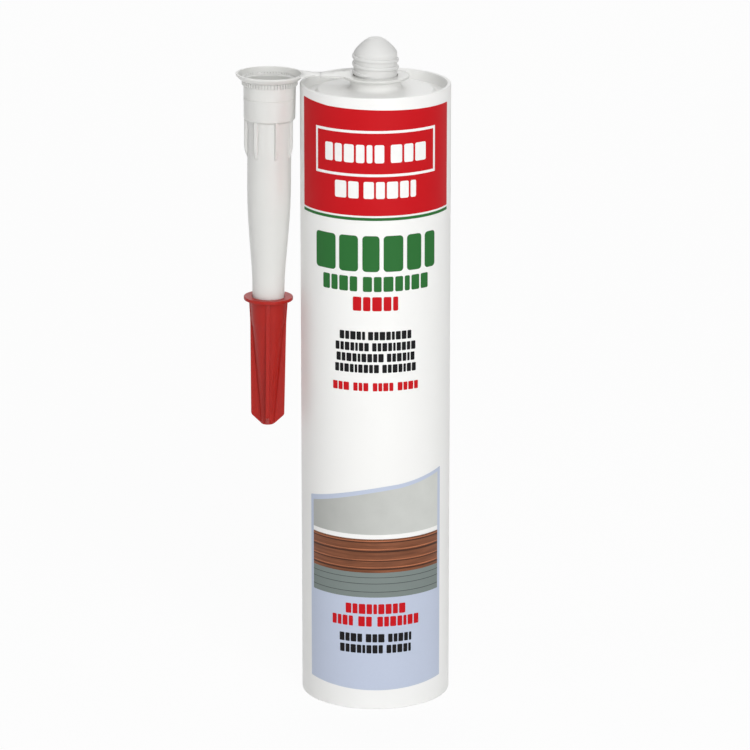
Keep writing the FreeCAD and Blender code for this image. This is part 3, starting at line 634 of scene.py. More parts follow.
def grown(name, tree, values, edge=0.0, place=Matrix(), base=None):
    """Run a geometry tree with these input values, round its edges, and keep the plain mesh."""
    piece = new_object(name, base or bpy.data.meshes.new(name))
    grow = piece.modifiers.new("Grow", "NODES")
    grow.node_group = tree
    for socket in tree.interface.items_tree:
        if socket.name in values:
            grow[socket.identifier] = values[socket.name]
    if edge:
        bevel = piece.modifiers.new("Edges", "BEVEL")
        bevel.width = edge
        bevel.segments = 2
        bevel.limit_method = "ANGLE"
        bevel.angle_limit = BEVEL_ANGLE
    graph = bpy.context.evaluated_depsgraph_get()
    data = bpy.data.meshes.new_from_object(piece.evaluated_get(graph))
    data.name = name
    data.transform(place)
    piece.modifiers.clear()
    piece.data = data
    mesh = bmesh.new()
    mesh.from_mesh(data)
    bmesh.ops.recalc_face_normals(mesh, faces=mesh.faces)
    for edge_line in mesh.edges:
        edge_line.smooth = edge_line.is_manifold and edge_line.calc_face_angle() < SHARP_ANGLE
    mesh.to_mesh(data)
    mesh.free()
    return piece


def thread_tree():
    """A ridge that winds up a neck, fades out at both ends and starts at the back."""
    tree, given = new_tree("thread_on_a_neck", {
        **dict.fromkeys((
            "Neck Radius", "Start Height", "Pitch", "Turns", "Ridge Height", "Root Width", "Crest Width",
            "Crest Round", "Taper"), "NodeSocketFloat"),
        "Material": "NodeSocketMaterial"})
    spiral = add_node(tree, "GeometryNodeCurveSpiral", {
        "Resolution": 96, "Rotations": given["Turns"], "Start Radius": given["Neck Radius"],
        "End Radius": given["Neck Radius"],
        "Height": maths(tree, "MULTIPLY", given["Pitch"], given["Turns"])})
    upright = add_node(tree, "GeometryNodeSetCurveNormal", {
        "Curve": spiral.outputs["Curve"]}, mode="Z_UP")
    ridge = add_node(tree, "GeometryNodeCurvePrimitiveQuadrilateral", {
        "Height": given["Ridge Height"], "Bottom Width": given["Root Width"],
        "Top Width": given["Crest Width"], "Offset": 0.0}, mode="TRAPEZOID")
    soft = add_node(tree, "GeometryNodeFilletCurve", {
        "Curve": ridge.outputs["Curve"], "Count": 3, "Radius": given["Crest Round"],
        "Limit Radius": True}, mode="POLY")
    outward = add_node(tree, "ShaderNodeCombineXYZ", {
        "X": maths(tree, "MULTIPLY", given["Ridge Height"], -0.5)})
    turned = add_node(tree, "GeometryNodeTransform", {
        "Geometry": soft.outputs["Curve"], "Translation": outward.outputs["Vector"],
        "Rotation": (0.0, 0.0, math.pi / 2)})
    along = add_node(tree, "GeometryNodeSplineParameter").outputs["Factor"]
    near = maths(tree, "MINIMUM", along, maths(tree, "SUBTRACT", 1.0, along))
    fade = add_node(tree, "ShaderNodeMapRange", {
        "Value": near, "From Max": given["Taper"], "To Min": 0.05, "To Max": 1.0},
        interpolation_type="SMOOTHSTEP")
    ridge_line = add_node(tree, "GeometryNodeCurveToMesh", {
        "Curve": upright.outputs["Curve"], "Profile Curve": turned.outputs["Geometry"],
        "Scale": fade.outputs["Result"], "Fill Caps": True})
    lift = add_node(tree, "ShaderNodeCombineXYZ", {"Z": given["Start Height"]})
    placed = add_node(tree, "GeometryNodeTransform", {
        "Geometry": ridge_line.outputs["Mesh"], "Translation": lift.outputs["Vector"],
        "Rotation": (0.0, 0.0, -math.pi / 2)})
    close_tree(tree, placed.outputs["Geometry"], given["Material"])
    return tree


def spokes_tree():
    """Thickens a flat section and sets copies of it evenly round the upright axis."""
    tree, given = new_tree("ribs_round_an_axis", {
        "Geometry": "NodeSocketGeometry", "Width": "NodeSocketFloat", "Count": "NodeSocketInt",
        "First Turn": "NodeSocketFloat", "Material": "NodeSocketMaterial"})
    across = add_node(tree, "ShaderNodeCombineXYZ", {"Y": given["Width"]})
    thick = add_node(tree, "GeometryNodeExtrudeMesh", {
        "Mesh": given["Geometry"], "Offset": across.outputs["Vector"], "Individual": False}, mode="FACES")
    rib = add_node(tree, "GeometryNodeJoinGeometry", {"Geometry": thick.outputs["Mesh"]})
    tree.links.new(given["Geometry"], rib.inputs["Geometry"])
    closed = add_node(tree, "GeometryNodeMergeByDistance", {
        "Geometry": rib.outputs["Geometry"], "Distance": SAME_POINT})
    points = add_node(tree, "GeometryNodePoints", {"Count": given["Count"], "Position": (0.0, 0.0, 0.0)})
    step = maths(tree, "DIVIDE", 2 * math.pi, given["Count"])
    number = add_node(tree, "GeometryNodeInputIndex").outputs["Index"]
    euler = add_node(tree, "ShaderNodeCombineXYZ", {
        "Z": maths(tree, "MULTIPLY_ADD", number, step, given["First Turn"])})
    rotation = add_node(tree, "FunctionNodeEulerToRotation", {"Euler": euler.outputs["Vector"]})
    spokes = add_node(tree, "GeometryNodeInstanceOnPoints", {
        "Points": points.outputs["Points"], "Instance": closed.outputs["Geometry"],
        "Rotation": rotation.outputs["Rotation"]})
    close_tree(tree, spokes.outputs["Instances"], given["Material"])
    return tree


def ribs(name, tree, corners, width, count, first_turn, material, edge, place):
    """Ribs whose section is an outline of (radius, height, cut) corners that starts and ends
    inside the wall they stand on."""
    section = bpy.data.meshes.new(name)
    points = [(spot.x, -width / 2, spot.y) for spot in rounded(corners)]
    section.from_pydata(points, [], [range(len(points))])
    values = {"Width": width, "Count": count, "First Turn": first_turn, "Material": material}
    return grown(name, tree, values, edge, place, section)


def barrel_tops(barrel, neck):
    """Heights of the head, the collar, the neck and the dome."""
    head = barrel.length - barrel.plateau_depth
    collar = barrel.length + neck.collar_rise
    neck_top = collar + neck.length
    return head, collar, neck_top, neck_top + neck.dome_height


def hanging_place(barrel, neck, nozzle):
    """The nozzle's own frame: ring centre, top of the ring, tilted by the strap."""
    ring_top = barrel.length + neck.collar_rise + nozzle.ring_clearance + nozzle.ring_thickness
    return Matrix.Translation((0, 0, ring_top)) @ Matrix.Rotation(nozzle.strap_tilt, 4, "Y")


def spout_axis(barrel, nozzle):
    return -(barrel.radius + nozzle.hang_gap + nozzle.sleeve_radius)


def spout_place(scene):
    """The spout's own frame: on its axis, at the top of the lip."""
    barrel = scene.cartridge_barrel
    nozzle = scene.cartridge_nozzle
    along = Matrix.Translation((spout_axis(barrel, nozzle), 0, 0))
    return hanging_place(barrel, scene.cartridge_neck, nozzle) @ along


class CARTRIDGE_OT_stage(bpy.types.Operator):
    """Add the floor, the soft studio light and the camera"""
    bl_idname = "cartridge.stage"
    bl_label = "Stage"

    def execute(self, context):
        stage = context.scene.cartridge_stage
        floor = bmesh.new()
        bmesh.ops.create_grid(floor, x_segments=1, y_segments=1, size=8.0)
        paper = finished("floor", floor, studio_paper(stage.floor))
        paper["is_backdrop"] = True

        camera = bpy.data.cameras.new("camera")
        camera.lens = stage.lens
        camera.clip_start = 0.05
        camera.clip_end = 30.0
        eye = new_object("camera", camera)
        eye.location = (stage.eye_aside, -stage.eye_distance, stage.eye_height)
        eye.rotation_euler = (math.pi / 2 - stage.pitch, 0.0, 0.0)
        context.scene.camera = eye

        world = bpy.data.worlds.new("studio")
        context.scene.world = world
        world.use_nodes = True
        tree = world.node_tree
        path = add_node(tree, "ShaderNodeLightPath")
        room, white = (
            add_node(tree, "ShaderNodeBackground", {"Color": (1.0, 1.0, 1.0, 1.0), "Strength": strength})
            for strength in (AMBIENT, 1.0))
        mix = add_node(tree, "ShaderNodeMixShader", {
            0: path.outputs["Is Camera Ray"], 1: room.outputs["Background"],
            2: white.outputs["Background"]})
        tree.links.new(mix.outputs["Shader"], tree.nodes["World Output"].inputs["Surface"])

        for name, azimuth, elevation, distance, width, height, power in LAMPS:
            lamp = bpy.data.lights.new(name, "AREA")
            lamp.shape = "RECTANGLE"
            lamp.size = width
            lamp.size_y = height
            lamp.energy = power
            holder = new_object(name, lamp)
            turn = math.radians(azimuth)
            rise = math.radians(elevation)
            level = math.cos(rise)
            away = Vector((math.sin(turn) * level, -math.cos(turn) * level, math.sin(rise)))
            holder.location = Vector((0, 0, CAD_MIDDLE)) + away * distance
            holder.rotation_euler = (-away).to_track_quat("-Z", "Y").to_euler()
        context.scene.view_settings.view_transform = "Standard"
        return {"FINISHED"}


class CARTRIDGE_OT_barrel(bpy.types.Operator):
    """Turn the barrel, head, neck and dome as one moulding"""
    bl_idname = "cartridge.barrel"
    bl_label = "Barrel and Neck"

    def execute(self, context):
        barrel = context.scene.cartridge_barrel
        neck = context.scene.cartridge_neck
        head, collar, neck_top, dome_top = barrel_tops(barrel, neck)
        gutter = barrel.length - barrel.gutter_depth
        rim_bore = barrel.radius - barrel.rim_wall
        bore = barrel.radius - barrel.wall
        gutter_inside = rim_bore - barrel.gutter_width
        plateau = gutter_inside - barrel.plateau_slope
        neck_bore = neck.radius - neck.wall
        soft = 0.5 * MM
        dome_side = bowed((neck.radius, neck_top), (neck.dome_flat, dome_top), -neck.dome_bow)
        dome_under = dome_top - neck.wall
        dome_inside = bowed((neck.dome_flat, dome_under), (neck_bore, neck_top), neck.dome_bow)
        white = material_once(moulded_hdpe, tuple(context.scene.cartridge_finishes.cartridge))
        piece = turned("barrel", [
            (0.0, dome_top),
            (neck.dome_flat, dome_top, soft),
            *reversed(dome_side),
            (neck.radius, neck_top, soft),
            (neck.radius, collar, 0.3 * MM),
            (neck.collar_radius, collar, 0.25 * MM),
            (neck.collar_radius, head, 2 * neck.collar_flare),
            (plateau, head, soft),
            (gutter_inside, gutter, soft),
            (rim_bore, gutter, soft),
            (rim_bore, barrel.length, barrel.edge),
            (barrel.radius, barrel.length, 1.6 * barrel.edge),
            (barrel.radius, 0.0, 1.6 * barrel.edge),
            (barrel.radius - barrel.mouth_wall, 0.0, 0.15 * MM),
            (barrel.radius - barrel.mouth_wall, barrel.mouth_depth),
            (bore, barrel.mouth_depth + barrel.wall - barrel.mouth_wall),
            (bore, gutter - barrel.head_wall, soft),
            (gutter_inside, gutter - barrel.head_wall),
            (plateau, head - barrel.head_wall),
            (neck_bore, head - barrel.head_wall, soft),
            (neck_bore, neck_top),
            *reversed(dome_inside),
            (neck.dome_flat, dome_under),
            (0.0, dome_under),
        ], white)
        dressed(piece, "cartridge", "cartridge_white", "cartridge")
        return {"FINISHED"}


class CARTRIDGE_OT_thread(bpy.types.Operator):
    """Wind the ridge of the thread round the neck"""
    bl_idname = "cartridge.thread"
    bl_label = "Neck Thread"

    def execute(self, context):
        barrel = context.scene.cartridge_barrel
        neck = context.scene.cartridge_neck
        white = material_once(moulded_hdpe, tuple(context.scene.cartridge_finishes.cartridge))
        piece = grown("neck_thread", thread_tree(), {
            "Neck Radius": neck.radius - neck.thread_sink,
            "Start Height": barrel_tops(barrel, neck)[1] + neck.thread_start,
            "Pitch": neck.thread_pitch, "Turns": neck.thread_turns,
            "Ridge Height": neck.thread_depth + neck.thread_sink,
            "Root Width": neck.thread_root, "Crest Width": neck.thread_crest,
            "Crest Round": neck.thread_round, "Taper": neck.thread_taper, "Material": white})
        dressed(piece, "cartridge", "cartridge_white")
        return {"FINISHED"}


def plate(mesh, outlines, thickness, edge):
    """Add a flat plate under height 0, with rounded edges, from an outline and its holes."""
    curve = bpy.data.curves.new("plate", "CURVE")
    curve.dimensions = "2D"
    curve.fill_mode = "BOTH"
    curve.extrude = thickness / 2 - edge
    curve.bevel_depth = edge
    curve.bevel_resolution = 2
    curve.offset = -edge
    for points in outlines:
        spline = curve.splines.new("POLY")
        spline.points.add(len(points) - 1)
        spline.use_cyclic_u = True
        for spot, (along, across) in zip(spline.points, points):
            spot.co = (along, across, 0.0, 1.0)
    holder = new_object("plate", curve)
    flat = holder.to_mesh()
    flat.transform(Matrix.Translation((0, 0, -thickness / 2)))
    part = bmesh.new()
    part.from_mesh(flat)
    bmesh.ops.remove_doubles(part, verts=part.verts, dist=SAME_POINT)
    whole = bpy.data.meshes.new("plate")
    part.to_mesh(whole)
    part.free()
    mesh.from_mesh(whole)
    bpy.data.meshes.remove(whole)
    bpy.data.objects.remove(holder)


def circle(radius, steps, start=0.0, end=2 * math.pi):
    """Points round a circle from one direction to another, without the last."""
    turns = [start + (end - start) * step / steps for step in range(steps)]
    return [(radius * math.cos(turn), radius * math.sin(turn)) for turn in turns]


class CARTRIDGE_OT_nozzle(bpy.types.Operator):
    """Turn the spout and its socket, and join them to the ring by the strap"""
    bl_idname = "cartridge.nozzle"
    bl_label = "Nozzle and Strap"

    def execute(self, context):
        scene = context.scene
        barrel = scene.cartridge_barrel
        neck = scene.cartridge_neck
        nozzle = scene.cartridge_nozzle
        axis = spout_axis(barrel, nozzle)
        bore = nozzle.spout_radius - nozzle.wall
        waist_bore = nozzle.waist_radius - nozzle.wall
        tip_bore = nozzle.tip_radius - nozzle.wall
        lip_inside = nozzle.lip_radius - nozzle.lip_wall
        edge = 0.15 * MM
        flare_foot = -nozzle.flare_depth
        seam_share = (nozzle.seam_depth + flare_foot) / (nozzle.sleeve_length + flare_foot)
        seam_side = nozzle.sleeve_radius - nozzle.sleeve_taper * seam_share
        flare = bowed(
            (nozzle.lip_radius, -nozzle.lip_edge), (nozzle.sleeve_radius, flare_foot), nozzle.flare_bow)
        funnel = bowed((lip_inside, 0.0), (nozzle.socket_radius, flare_foot), nozzle.flare_bow)
        outline = rounded([
            (0.0, -nozzle.spout_length),
            (nozzle.tip_radius, -nozzle.spout_length, edge),
            (nozzle.waist_radius, -nozzle.seat, 2 * MM),
            (nozzle.waist_radius, -nozzle.waist, 6 * MM),
            (nozzle.spout_radius, -nozzle.spout_straight, 8 * MM),
            (nozzle.spout_radius, -(nozzle.sleeve_length + nozzle.step_bevel), 0.4 * MM),
            (nozzle.sleeve_radius - nozzle.sleeve_taper, -nozzle.sleeve_length, 0.35 * MM),
            (seam_side, -(nozzle.seam_depth + nozzle.seam)),
            (seam_side - nozzle.seam, -nozzle.seam_depth),
            (seam_side, -(nozzle.seam_depth - nozzle.seam)),
            (nozzle.sleeve_radius, flare_foot, 0.3 * MM),
            *reversed(flare),
            (nozzle.lip_radius, -nozzle.lip_edge, edge),
            (nozzle.lip_radius, 0.0, edge),
            (lip_inside, 0.0, edge),
            *funnel,
            (nozzle.socket_radius, flare_foot, 0.3 * MM),
            (nozzle.socket_radius, -nozzle.socket_depth, 0.6 * MM),
            (bore, -(nozzle.socket_depth + nozzle.socket_funnel), 0.6 * MM),
            (bore, -nozzle.spout_straight, 8 * MM),
            (waist_bore, -nozzle.waist, 6 * MM),
            (waist_bore, -nozzle.seat, 2 * MM),
            (tip_bore, -(nozzle.spout_length - nozzle.wall), edge),
            (0.0, -(nozzle.spout_length - nozzle.wall)),
        ])
        mesh = bmesh.new()
        lathe(mesh, outline, axis)

        half = nozzle.strap_width / 2
        narrow = nozzle.web_width / 2
        meeting = math.pi - math.asin(half / nozzle.ring_radius)
        ring = circle(nozzle.ring_radius, RING_STEPS, -meeting, meeting)
        hole = circle(neck.radius + nozzle.ring_clearance, HOLE_STEPS)
        overlap = 0.3 * MM
        strap_end = -(nozzle.web_start + overlap / 2)
        strap = ring + [(strap_end, narrow), (strap_end, -narrow)]
        plate(mesh, [strap, hole], nozzle.ring_thickness, nozzle.plate_edge)

        wide = nozzle.strap_root / 2
        seat = nozzle.lip_radius - nozzle.lip_wall / 2
        spread = math.asin(wide / seat)
        root = axis + seat * math.cos(spread)
        start = -(nozzle.web_start - overlap)
        straight = -(nozzle.web_start + nozzle.web_length)
        side = bowed((straight, -narrow), (root, -wide), nozzle.web_bow)
        lower = [(start, -narrow), (straight, -narrow), *side]
        upper = [(along, -across) for along, across in reversed(lower)]
        rim = [(axis + along, across) for along, across in circle(seat, STRAP_STEPS, -spread, spread)]
        plate(mesh, [lower + rim + [(root, wide)] + upper], nozzle.web_thickness, nozzle.plate_edge)
        white = material_once(moulded_ldpe, tuple(scene.cartridge_finishes.nozzle))
        piece = finished("nozzle_body", mesh, white, hanging_place(barrel, neck, nozzle))
        dressed(piece, "nozzle", "nozzle_white", "nozzle")
        return {"FINISHED"}


class CARTRIDGE_OT_grips(bpy.types.Operator):
    """Set the teeth under the lip and the ribs under the sleeve"""
    bl_idname = "cartridge.grips"
    bl_label = "Nozzle Teeth and Ribs"

    def execute(self, context):
        scene = context.scene
        nozzle = scene.cartridge_nozzle
        place = spout_place(scene)
        tree = spokes_tree()
        white = material_once(moulded_ldpe, tuple(scene.cartridge_finishes.nozzle))
        root = nozzle.sleeve_radius - nozzle.root_sink
        crest = nozzle.sleeve_radius + nozzle.tooth_reach
        teeth = ribs(
            "nozzle_teeth", tree,
            [(crest - nozzle.tooth_root, -nozzle.tooth_top), (crest, -nozzle.tooth_top),
             (crest, -(nozzle.tooth_foot - nozzle.tooth_reach), 0.15 * MM), (root, -nozzle.tooth_foot),
             (root, nozzle.tooth_root - nozzle.tooth_foot)],
            nozzle.tooth_width, nozzle.tooth_count, 0.0, white, 0.06 * MM, place)
        dressed(teeth, "nozzle", "nozzle_white")
        root = nozzle.spout_radius - nozzle.root_sink
        crest = nozzle.spout_radius + nozzle.rib_reach
        top = nozzle.step_bevel - nozzle.sleeve_length
        fading = ribs(
            "nozzle_ribs", tree,
            [(root, top), (crest, top), (crest, -nozzle.rib_fade, 1.5 * MM), (root, -nozzle.rib_end)],
            nozzle.rib_width, nozzle.rib_count, nozzle.rib_turn - math.pi / 2, white, 0.2 * MM, place)
        dressed(fading, "nozzle", "nozzle_white")
        return {"FINISHED"}


class CARTRIDGE_OT_cap(bpy.types.Operator):
    """Turn the cap with its flange and collar, and set its fins"""
    bl_idname = "cartridge.cap"
    bl_label = "Nozzle Cap"

    def execute(self, context):
        scene = context.scene
        nozzle = scene.cartridge_nozzle
        cap = scene.cartridge_cap
        mouth = -nozzle.seat
        foot = mouth - cap.length
        collar_end = mouth - cap.collar_length
        slope = (nozzle.waist_radius - nozzle.tip_radius) / (nozzle.spout_length - nozzle.seat)
        core_top = nozzle.waist_radius - cap.collar_length * slope + cap.clearance + cap.core_wall
        inside_foot = -(nozzle.spout_length + cap.clearance)
        edge = 0.25 * MM
        place = spout_place(scene)
        red = material_once(soft_red_ldpe, tuple(scene.cartridge_finishes.cap))
        core = turned("cap_core", [
            (0.0, foot),
            (cap.tip_radius, foot, 0.4 * MM),
            (core_top, collar_end - cap.collar_fade, MM),
            (cap.collar_foot - cap.fin_rise, collar_end, MM),
            (cap.collar_radius - cap.fin_rise, mouth - cap.flange, 0.5 * MM),
            (cap.flange_radius, mouth - cap.flange, edge),
            (cap.flange_radius, mouth, edge),
            (nozzle.waist_radius + cap.clearance, mouth, edge),
            (nozzle.tip_radius + cap.clearance, -nozzle.spout_length),
            (nozzle.tip_radius + cap.clearance, inside_foot, edge),
            (0.0, inside_foot),
        ], red, place)
        dressed(core, "cap", "cap_red", "nozzle_cap")
        under = mouth - cap.flange + cap.fin_root
        root = cap.collar_foot - cap.fin_rise - cap.fin_root / 2
        fins = ribs(
            "cap_fins", spokes_tree(),
            [(root, under), (cap.collar_radius, under), (cap.collar_foot, collar_end, 2 * MM),
             (cap.fin_foot, foot + cap.fin_bevel, 0.5 * MM),
             (cap.tip_radius, foot + cap.fin_root, 0.5 * MM),
             (cap.tip_radius - cap.fin_root, foot + cap.fin_root),
             (core_top - cap.fin_root, collar_end - cap.collar_fade), (root, collar_end)],
            cap.fin_width, cap.fin_count, 0.0, red, cap.fin_width / 8, place)
        dressed(fins, "cap", "cap_red")
        return {"FINISHED"}


class CARTRIDGE_OT_contents(bpy.types.Operator):
    """Turn the follower and the paste that it pushes"""
    bl_idname = "cartridge.contents"
    bl_label = "Follower and Paste"

    def execute(self, context):
        scene = context.scene
        finishes = scene.cartridge_finishes
        sizes = scene.cartridge_follower
        low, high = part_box("piston")
        lip = high.x
        crown = high.z
        shoulder = crown - sizes.crown_rise
        waist = lip - sizes.waist
        inside = waist - sizes.wall
        raised = sizes.crown_radius
        slope_foot = raised + sizes.crown_rise
        lip_slope = sizes.lip + sizes.waist
        edge = 0.25 * MM
        soft = 0.5 * MM
        follower = turned("follower", [
            (0.0, crown),
            (raised, crown, soft),
            (slope_foot, shoulder, soft),
            (lip, shoulder, edge),
            (lip, shoulder - sizes.lip, edge),
            (waist, shoulder - lip_slope, edge),
            (waist, low.z + lip_slope, edge),
            (lip, low.z + sizes.lip, edge),
            (lip, low.z, edge),
            (inside, low.z, edge),
            (inside, shoulder - sizes.wall, 2 * soft),
            (slope_foot, shoulder - sizes.wall, soft),
            (raised, crown - sizes.wall, soft),
            (0.0, crown - sizes.wall),
        ], material_once(natural_ldpe, tuple(finishes.piston)))
        dressed(follower, "piston", "piston_natural", "piston")

        barrel = scene.cartridge_barrel
        neck = scene.cartridge_neck
        head, _, neck_top, _ = barrel_tops(barrel, neck)
        low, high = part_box("sealant")
        gap = sizes.paste_gap
        side = high.x
        middle = low.z + sizes.crown_rise
        under = barrel.length - barrel.gutter_depth - barrel.head_wall - gap
        under_head = head - barrel.head_wall - gap
        gutter_inside = barrel.radius - barrel.rim_wall - barrel.gutter_width
        neck_side = neck.radius - neck.wall - gap
        paste = turned("paste", [
            (0.0, middle),
            (raised, middle, soft),
            (slope_foot, low.z, soft),
            (side, low.z, soft),
            (side, under, soft),
            (gutter_inside, under, edge),
            (gutter_inside - barrel.plateau_slope, under_head, edge),
            (neck_side, under_head, edge),
            (neck_side, neck_top, edge),
            (neck.dome_flat - gap, high.z, edge),
            (0.0, high.z),
        ], material_once(acrylic_paste, tuple(finishes.paste)))
        dressed(paste, "cartridge", "sealant_white", "sealant")
        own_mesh(paste)
        return {"FINISHED"}


def spans(node):
    """Each separate film of a printed CAD node: its left and right directions from the front,
    its lowest and highest heights, and which printed layer it is."""
    mesh = bmesh.new()
    mesh.from_mesh(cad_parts[node].data)
    bmesh.ops.remove_doubles(mesh, verts=mesh.verts, dist=SAME_POINT)
    waiting = set(mesh.verts)
    found = []
    while waiting:
        island = set()
        edge_of_island = [waiting.pop()]
        while edge_of_island:
            spot = edge_of_island.pop()
            island.add(spot)
            for edge in spot.link_edges:
                other = edge.other_vert(spot)
                if other in waiting:
                    waiting.remove(other)
                    edge_of_island.append(other)
        turns = [math.atan2(spot.co.x, -spot.co.y) for spot in island]
        heights = [spot.co.z for spot in island]
        outside = max(math.hypot(spot.co.x, spot.co.y) for spot in island)
        layer = round((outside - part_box("cartridge")[1].x) / CAD_LAYER)
        found.append((min(turns), max(turns), min(heights), max(heights), layer))
    mesh.free()
    return sorted(found, key=lambda span: (-span[3], span[0]))


def ink_film(mesh, radius, thickness, columns):
    """Add a closed film on the barrel from columns of (direction from the front, low, high)."""
    rows = []
    for turn, low, high in columns:
        across = math.sin(turn)
        towards = -math.cos(turn)
        rows.append([
            mesh.verts.new((reach * across, reach * towards, height))
            for reach in (radius, radius + thickness) for height in (low, high)])
    for before, after in zip(rows, rows[1:]):
        for first, second in ((0, 1), (1, 3), (3, 2), (2, 0)):
            mesh.faces.new((before[first], before[second], after[second], after[first]))
    for end in (rows[0], rows[-1]):
        mesh.faces.new((end[0], end[1], end[3], end[2]))


def columns_between(left, right, radius, corner, low_edge, high_edge):
    """Columns of a patch whose low and high edges are functions of direction, with its four
    corners rounded."""
    ends = []
    for step in range(ROUND_STEPS + 1):
        swing = math.pi / 2 * step / ROUND_STEPS
        ends.append((corner * (1 - math.cos(swing)) / radius, corner * (1 - math.sin(swing))))
    inner_left = left + corner / radius
    inner_right = right - corner / radius
    inner = inner_right - inner_left
    count = max(1, math.ceil(inner / INK_STEP))
    columns = [(left + reach, inset) for reach, inset in ends]
    columns += [(inner_left + inner * step / count, 0.0) for step in range(1, count)]
    columns += [(right - reach, inset) for reach, inset in reversed(ends)]
    return [(turn, low_edge(turn) + inset, high_edge(turn) - inset) for turn, inset in columns]


class Printer:
    """Adds films of one colour to one mesh, layer by layer."""

    def __init__(self, scene):
        self.sizes = scene.cartridge_print
        self.barrel = scene.cartridge_barrel
        self.mesh = bmesh.new()

    def patch(self, span, corner):
        left, right, low, high, layer = span
        self.shape(left, right, layer, corner, level_edge(low), level_edge(high))

    def shape(self, left, right, layer, corner, low_edge, high_edge):
        radius = self.barrel.radius + self.sizes.lift + (layer - 1) * self.sizes.film
        columns = columns_between(left, right, radius, corner, low_edge, high_edge)
        ink_film(self.mesh, radius, self.sizes.film, columns)

    def done(self, name, material, slot, *nodes):
        dressed(finished(name, self.mesh, material), "cartridge", slot, *nodes)


def print_span(scene, node, corner, name, material, slot):
    """Print the one film of a CAD node, and return its span."""
    printer = Printer(scene)
    span = spans(node)[0]
    printer.patch(span, corner)
    printer.done(name, material, slot, node)
    return span


def print_lines(scene, span, lines, name, material, slot):
    """Print thin level lines over a film."""
    left, right, bottom, top, layer = span
    printer = Printer(scene)
    for share, thickness in lines:
        middle = bottom + (top - bottom) * share
        half = thickness * MM / 2
        printer.patch((left, right, middle - half, middle + half, layer + 1), LINE_CORNER)
    printer.done(name, material, slot)


def print_field(scene, node, layer, corner, edges, name, material, slot):
    """Print a field as wide as its CAD node, between the low and the high edge that a function
    gives for its foot and its half width."""
    low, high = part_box(node)
    reach = math.asin(high.x / scene.cartridge_barrel.radius)
    printer = Printer(scene)
    printer.shape(-reach, reach, layer, corner, *edges(low.z, high.x))
    printer.done(name, material, slot, node)


def level_edge(height):
    """An edge at one height."""
    return lambda turn: height


def smile(barrel, sizes, foot, half):
    """The blue field's bottom edge, as a height for each direction: it curves up to each side."""
    return lambda turn: foot + sizes.blue_smile * (barrel.radius * math.sin(turn) / half) ** 2


def wave(barrel, sizes, half, drop):
    """The waved edge, as a height for each direction: a hump on the left, a dip on the right."""
    left = sizes.blue_left - drop
    right = sizes.blue_right - drop
    middle = left + (right - left) * (sizes.wave_cross / half + 1) / 2

    def height(turn):
        across = barrel.radius * math.sin(turn)
        if across < sizes.wave_cross:
            share = (across + half) / (sizes.wave_cross + half)
            return left + (middle - left) * share + sizes.wave_hump * 4 * share * (1 - share)
        share = (across - sizes.wave_cross) / (half - sizes.wave_cross)
        return middle + (right - middle) * share - sizes.wave_dip * 4 * share * (1 - share)

    return height


def red_edge(barrel, sizes, half):
    """The red field's top edge, as a height for each direction: it climbs to the left."""
    level = barrel.length - sizes.red_top
    turn_height = level + sizes.red_turn_rise

    def height(turn):
        across = barrel.radius * math.sin(turn)
        if across < -sizes.red_turn:
            share = (across + sizes.red_turn) / (sizes.red_turn - half)
            return turn_height + (sizes.red_left_rise - sizes.red_turn_rise) * share
        share = (across + sizes.red_turn) / (half + sizes.red_turn)
        return turn_height - (sizes.red_turn_rise + sizes.red_right_drop) * share

    return height


def ink(finishes, name):
    """The shared ink of a colour."""
    return material_once(printed_ink, f"screen_ink_{name}", tuple(getattr(finishes, f"{name}_ink")))


class CARTRIDGE_OT_fields(bpy.types.Operator):
    """Print the red field, the green line and the pale blue field"""
    bl_idname = "cartridge.fields"
    bl_label = "Printed Fields"

    def execute(self, context):
        scene = context.scene
        finishes = scene.cartridge_finishes
        sizes = scene.cartridge_print
        barrel = scene.cartridge_barrel
        print_field(
            scene, "print_red_field", 1, FIELD_CORNER,
            lambda foot, half: (level_edge(foot), red_edge(barrel, sizes, half)),
            "red_print", ink(finishes, "red"), "print_red")
        print_span(
            scene, "print_green_line", GREEN_CORNER, "green_print", ink(finishes, "green"), "print_green")
        print_field(
            scene, "print_blue_field", 1, BLUE_CORNER,
            lambda foot, half: (smile(barrel, sizes, foot, half), wave(barrel, sizes, half, 0.0)),
            "pale_blue_print", ink(finishes, "blue"), "print_pale_blue")
        return {"FINISHED"}


class CARTRIDGE_OT_picture(bpy.types.Operator):
    """Print a plain picture: a wall, a bead of sealant along a skirting board, and a floor"""
    bl_idname = "cartridge.picture"
    bl_label = "Printed Picture"

    def execute(self, context):
        scene = context.scene
        finishes = scene.cartridge_finishes
        sizes = scene.cartridge_print
        barrel = scene.cartridge_barrel
        print_field(
            scene, "print_wall", 2, PICTURE_CORNER,
            lambda foot, half: (level_edge(foot), wave(barrel, sizes, half, sizes.picture_drop)),
            "picture_wall", material_once(printed_wall, tuple(finishes.wall_ink)), "print_pale_grey")

        wood = material_once(printed_wood, tuple(finishes.brown_ink))
        board = print_span(
            scene, "print_board", PICTURE_CORNER, "picture_board", wood, "print_brown")
        for name, tone, lines in (
                ("picture_board_shade", SHADE_TONE, BOARD_SHADES),
                ("picture_board_light", LIGHT_TONE, BOARD_LIGHTS)):
            wood = material_once(printed_wood, toned(finishes.brown_ink, tone))
            print_lines(scene, board, lines, name, wood, "print_brown")

        print_span(
            scene, "print_bead", PICTURE_CORNER, "picture_bead", ink(finishes, "white"), "print_white")

        ground = print_span(
            scene, "print_floor", PICTURE_CORNER, "picture_floor", ink(finishes, "floor"),
            "print_grey_green")
        joints = material_once(printed_ink, "screen_ink_joints", toned(finishes.floor_ink, JOINT_TONE))
        print_lines(
            scene, ground, FLOOR_JOINTS, "picture_floor_joints", joints, "print_grey_green")
        return {"FINISHED"}


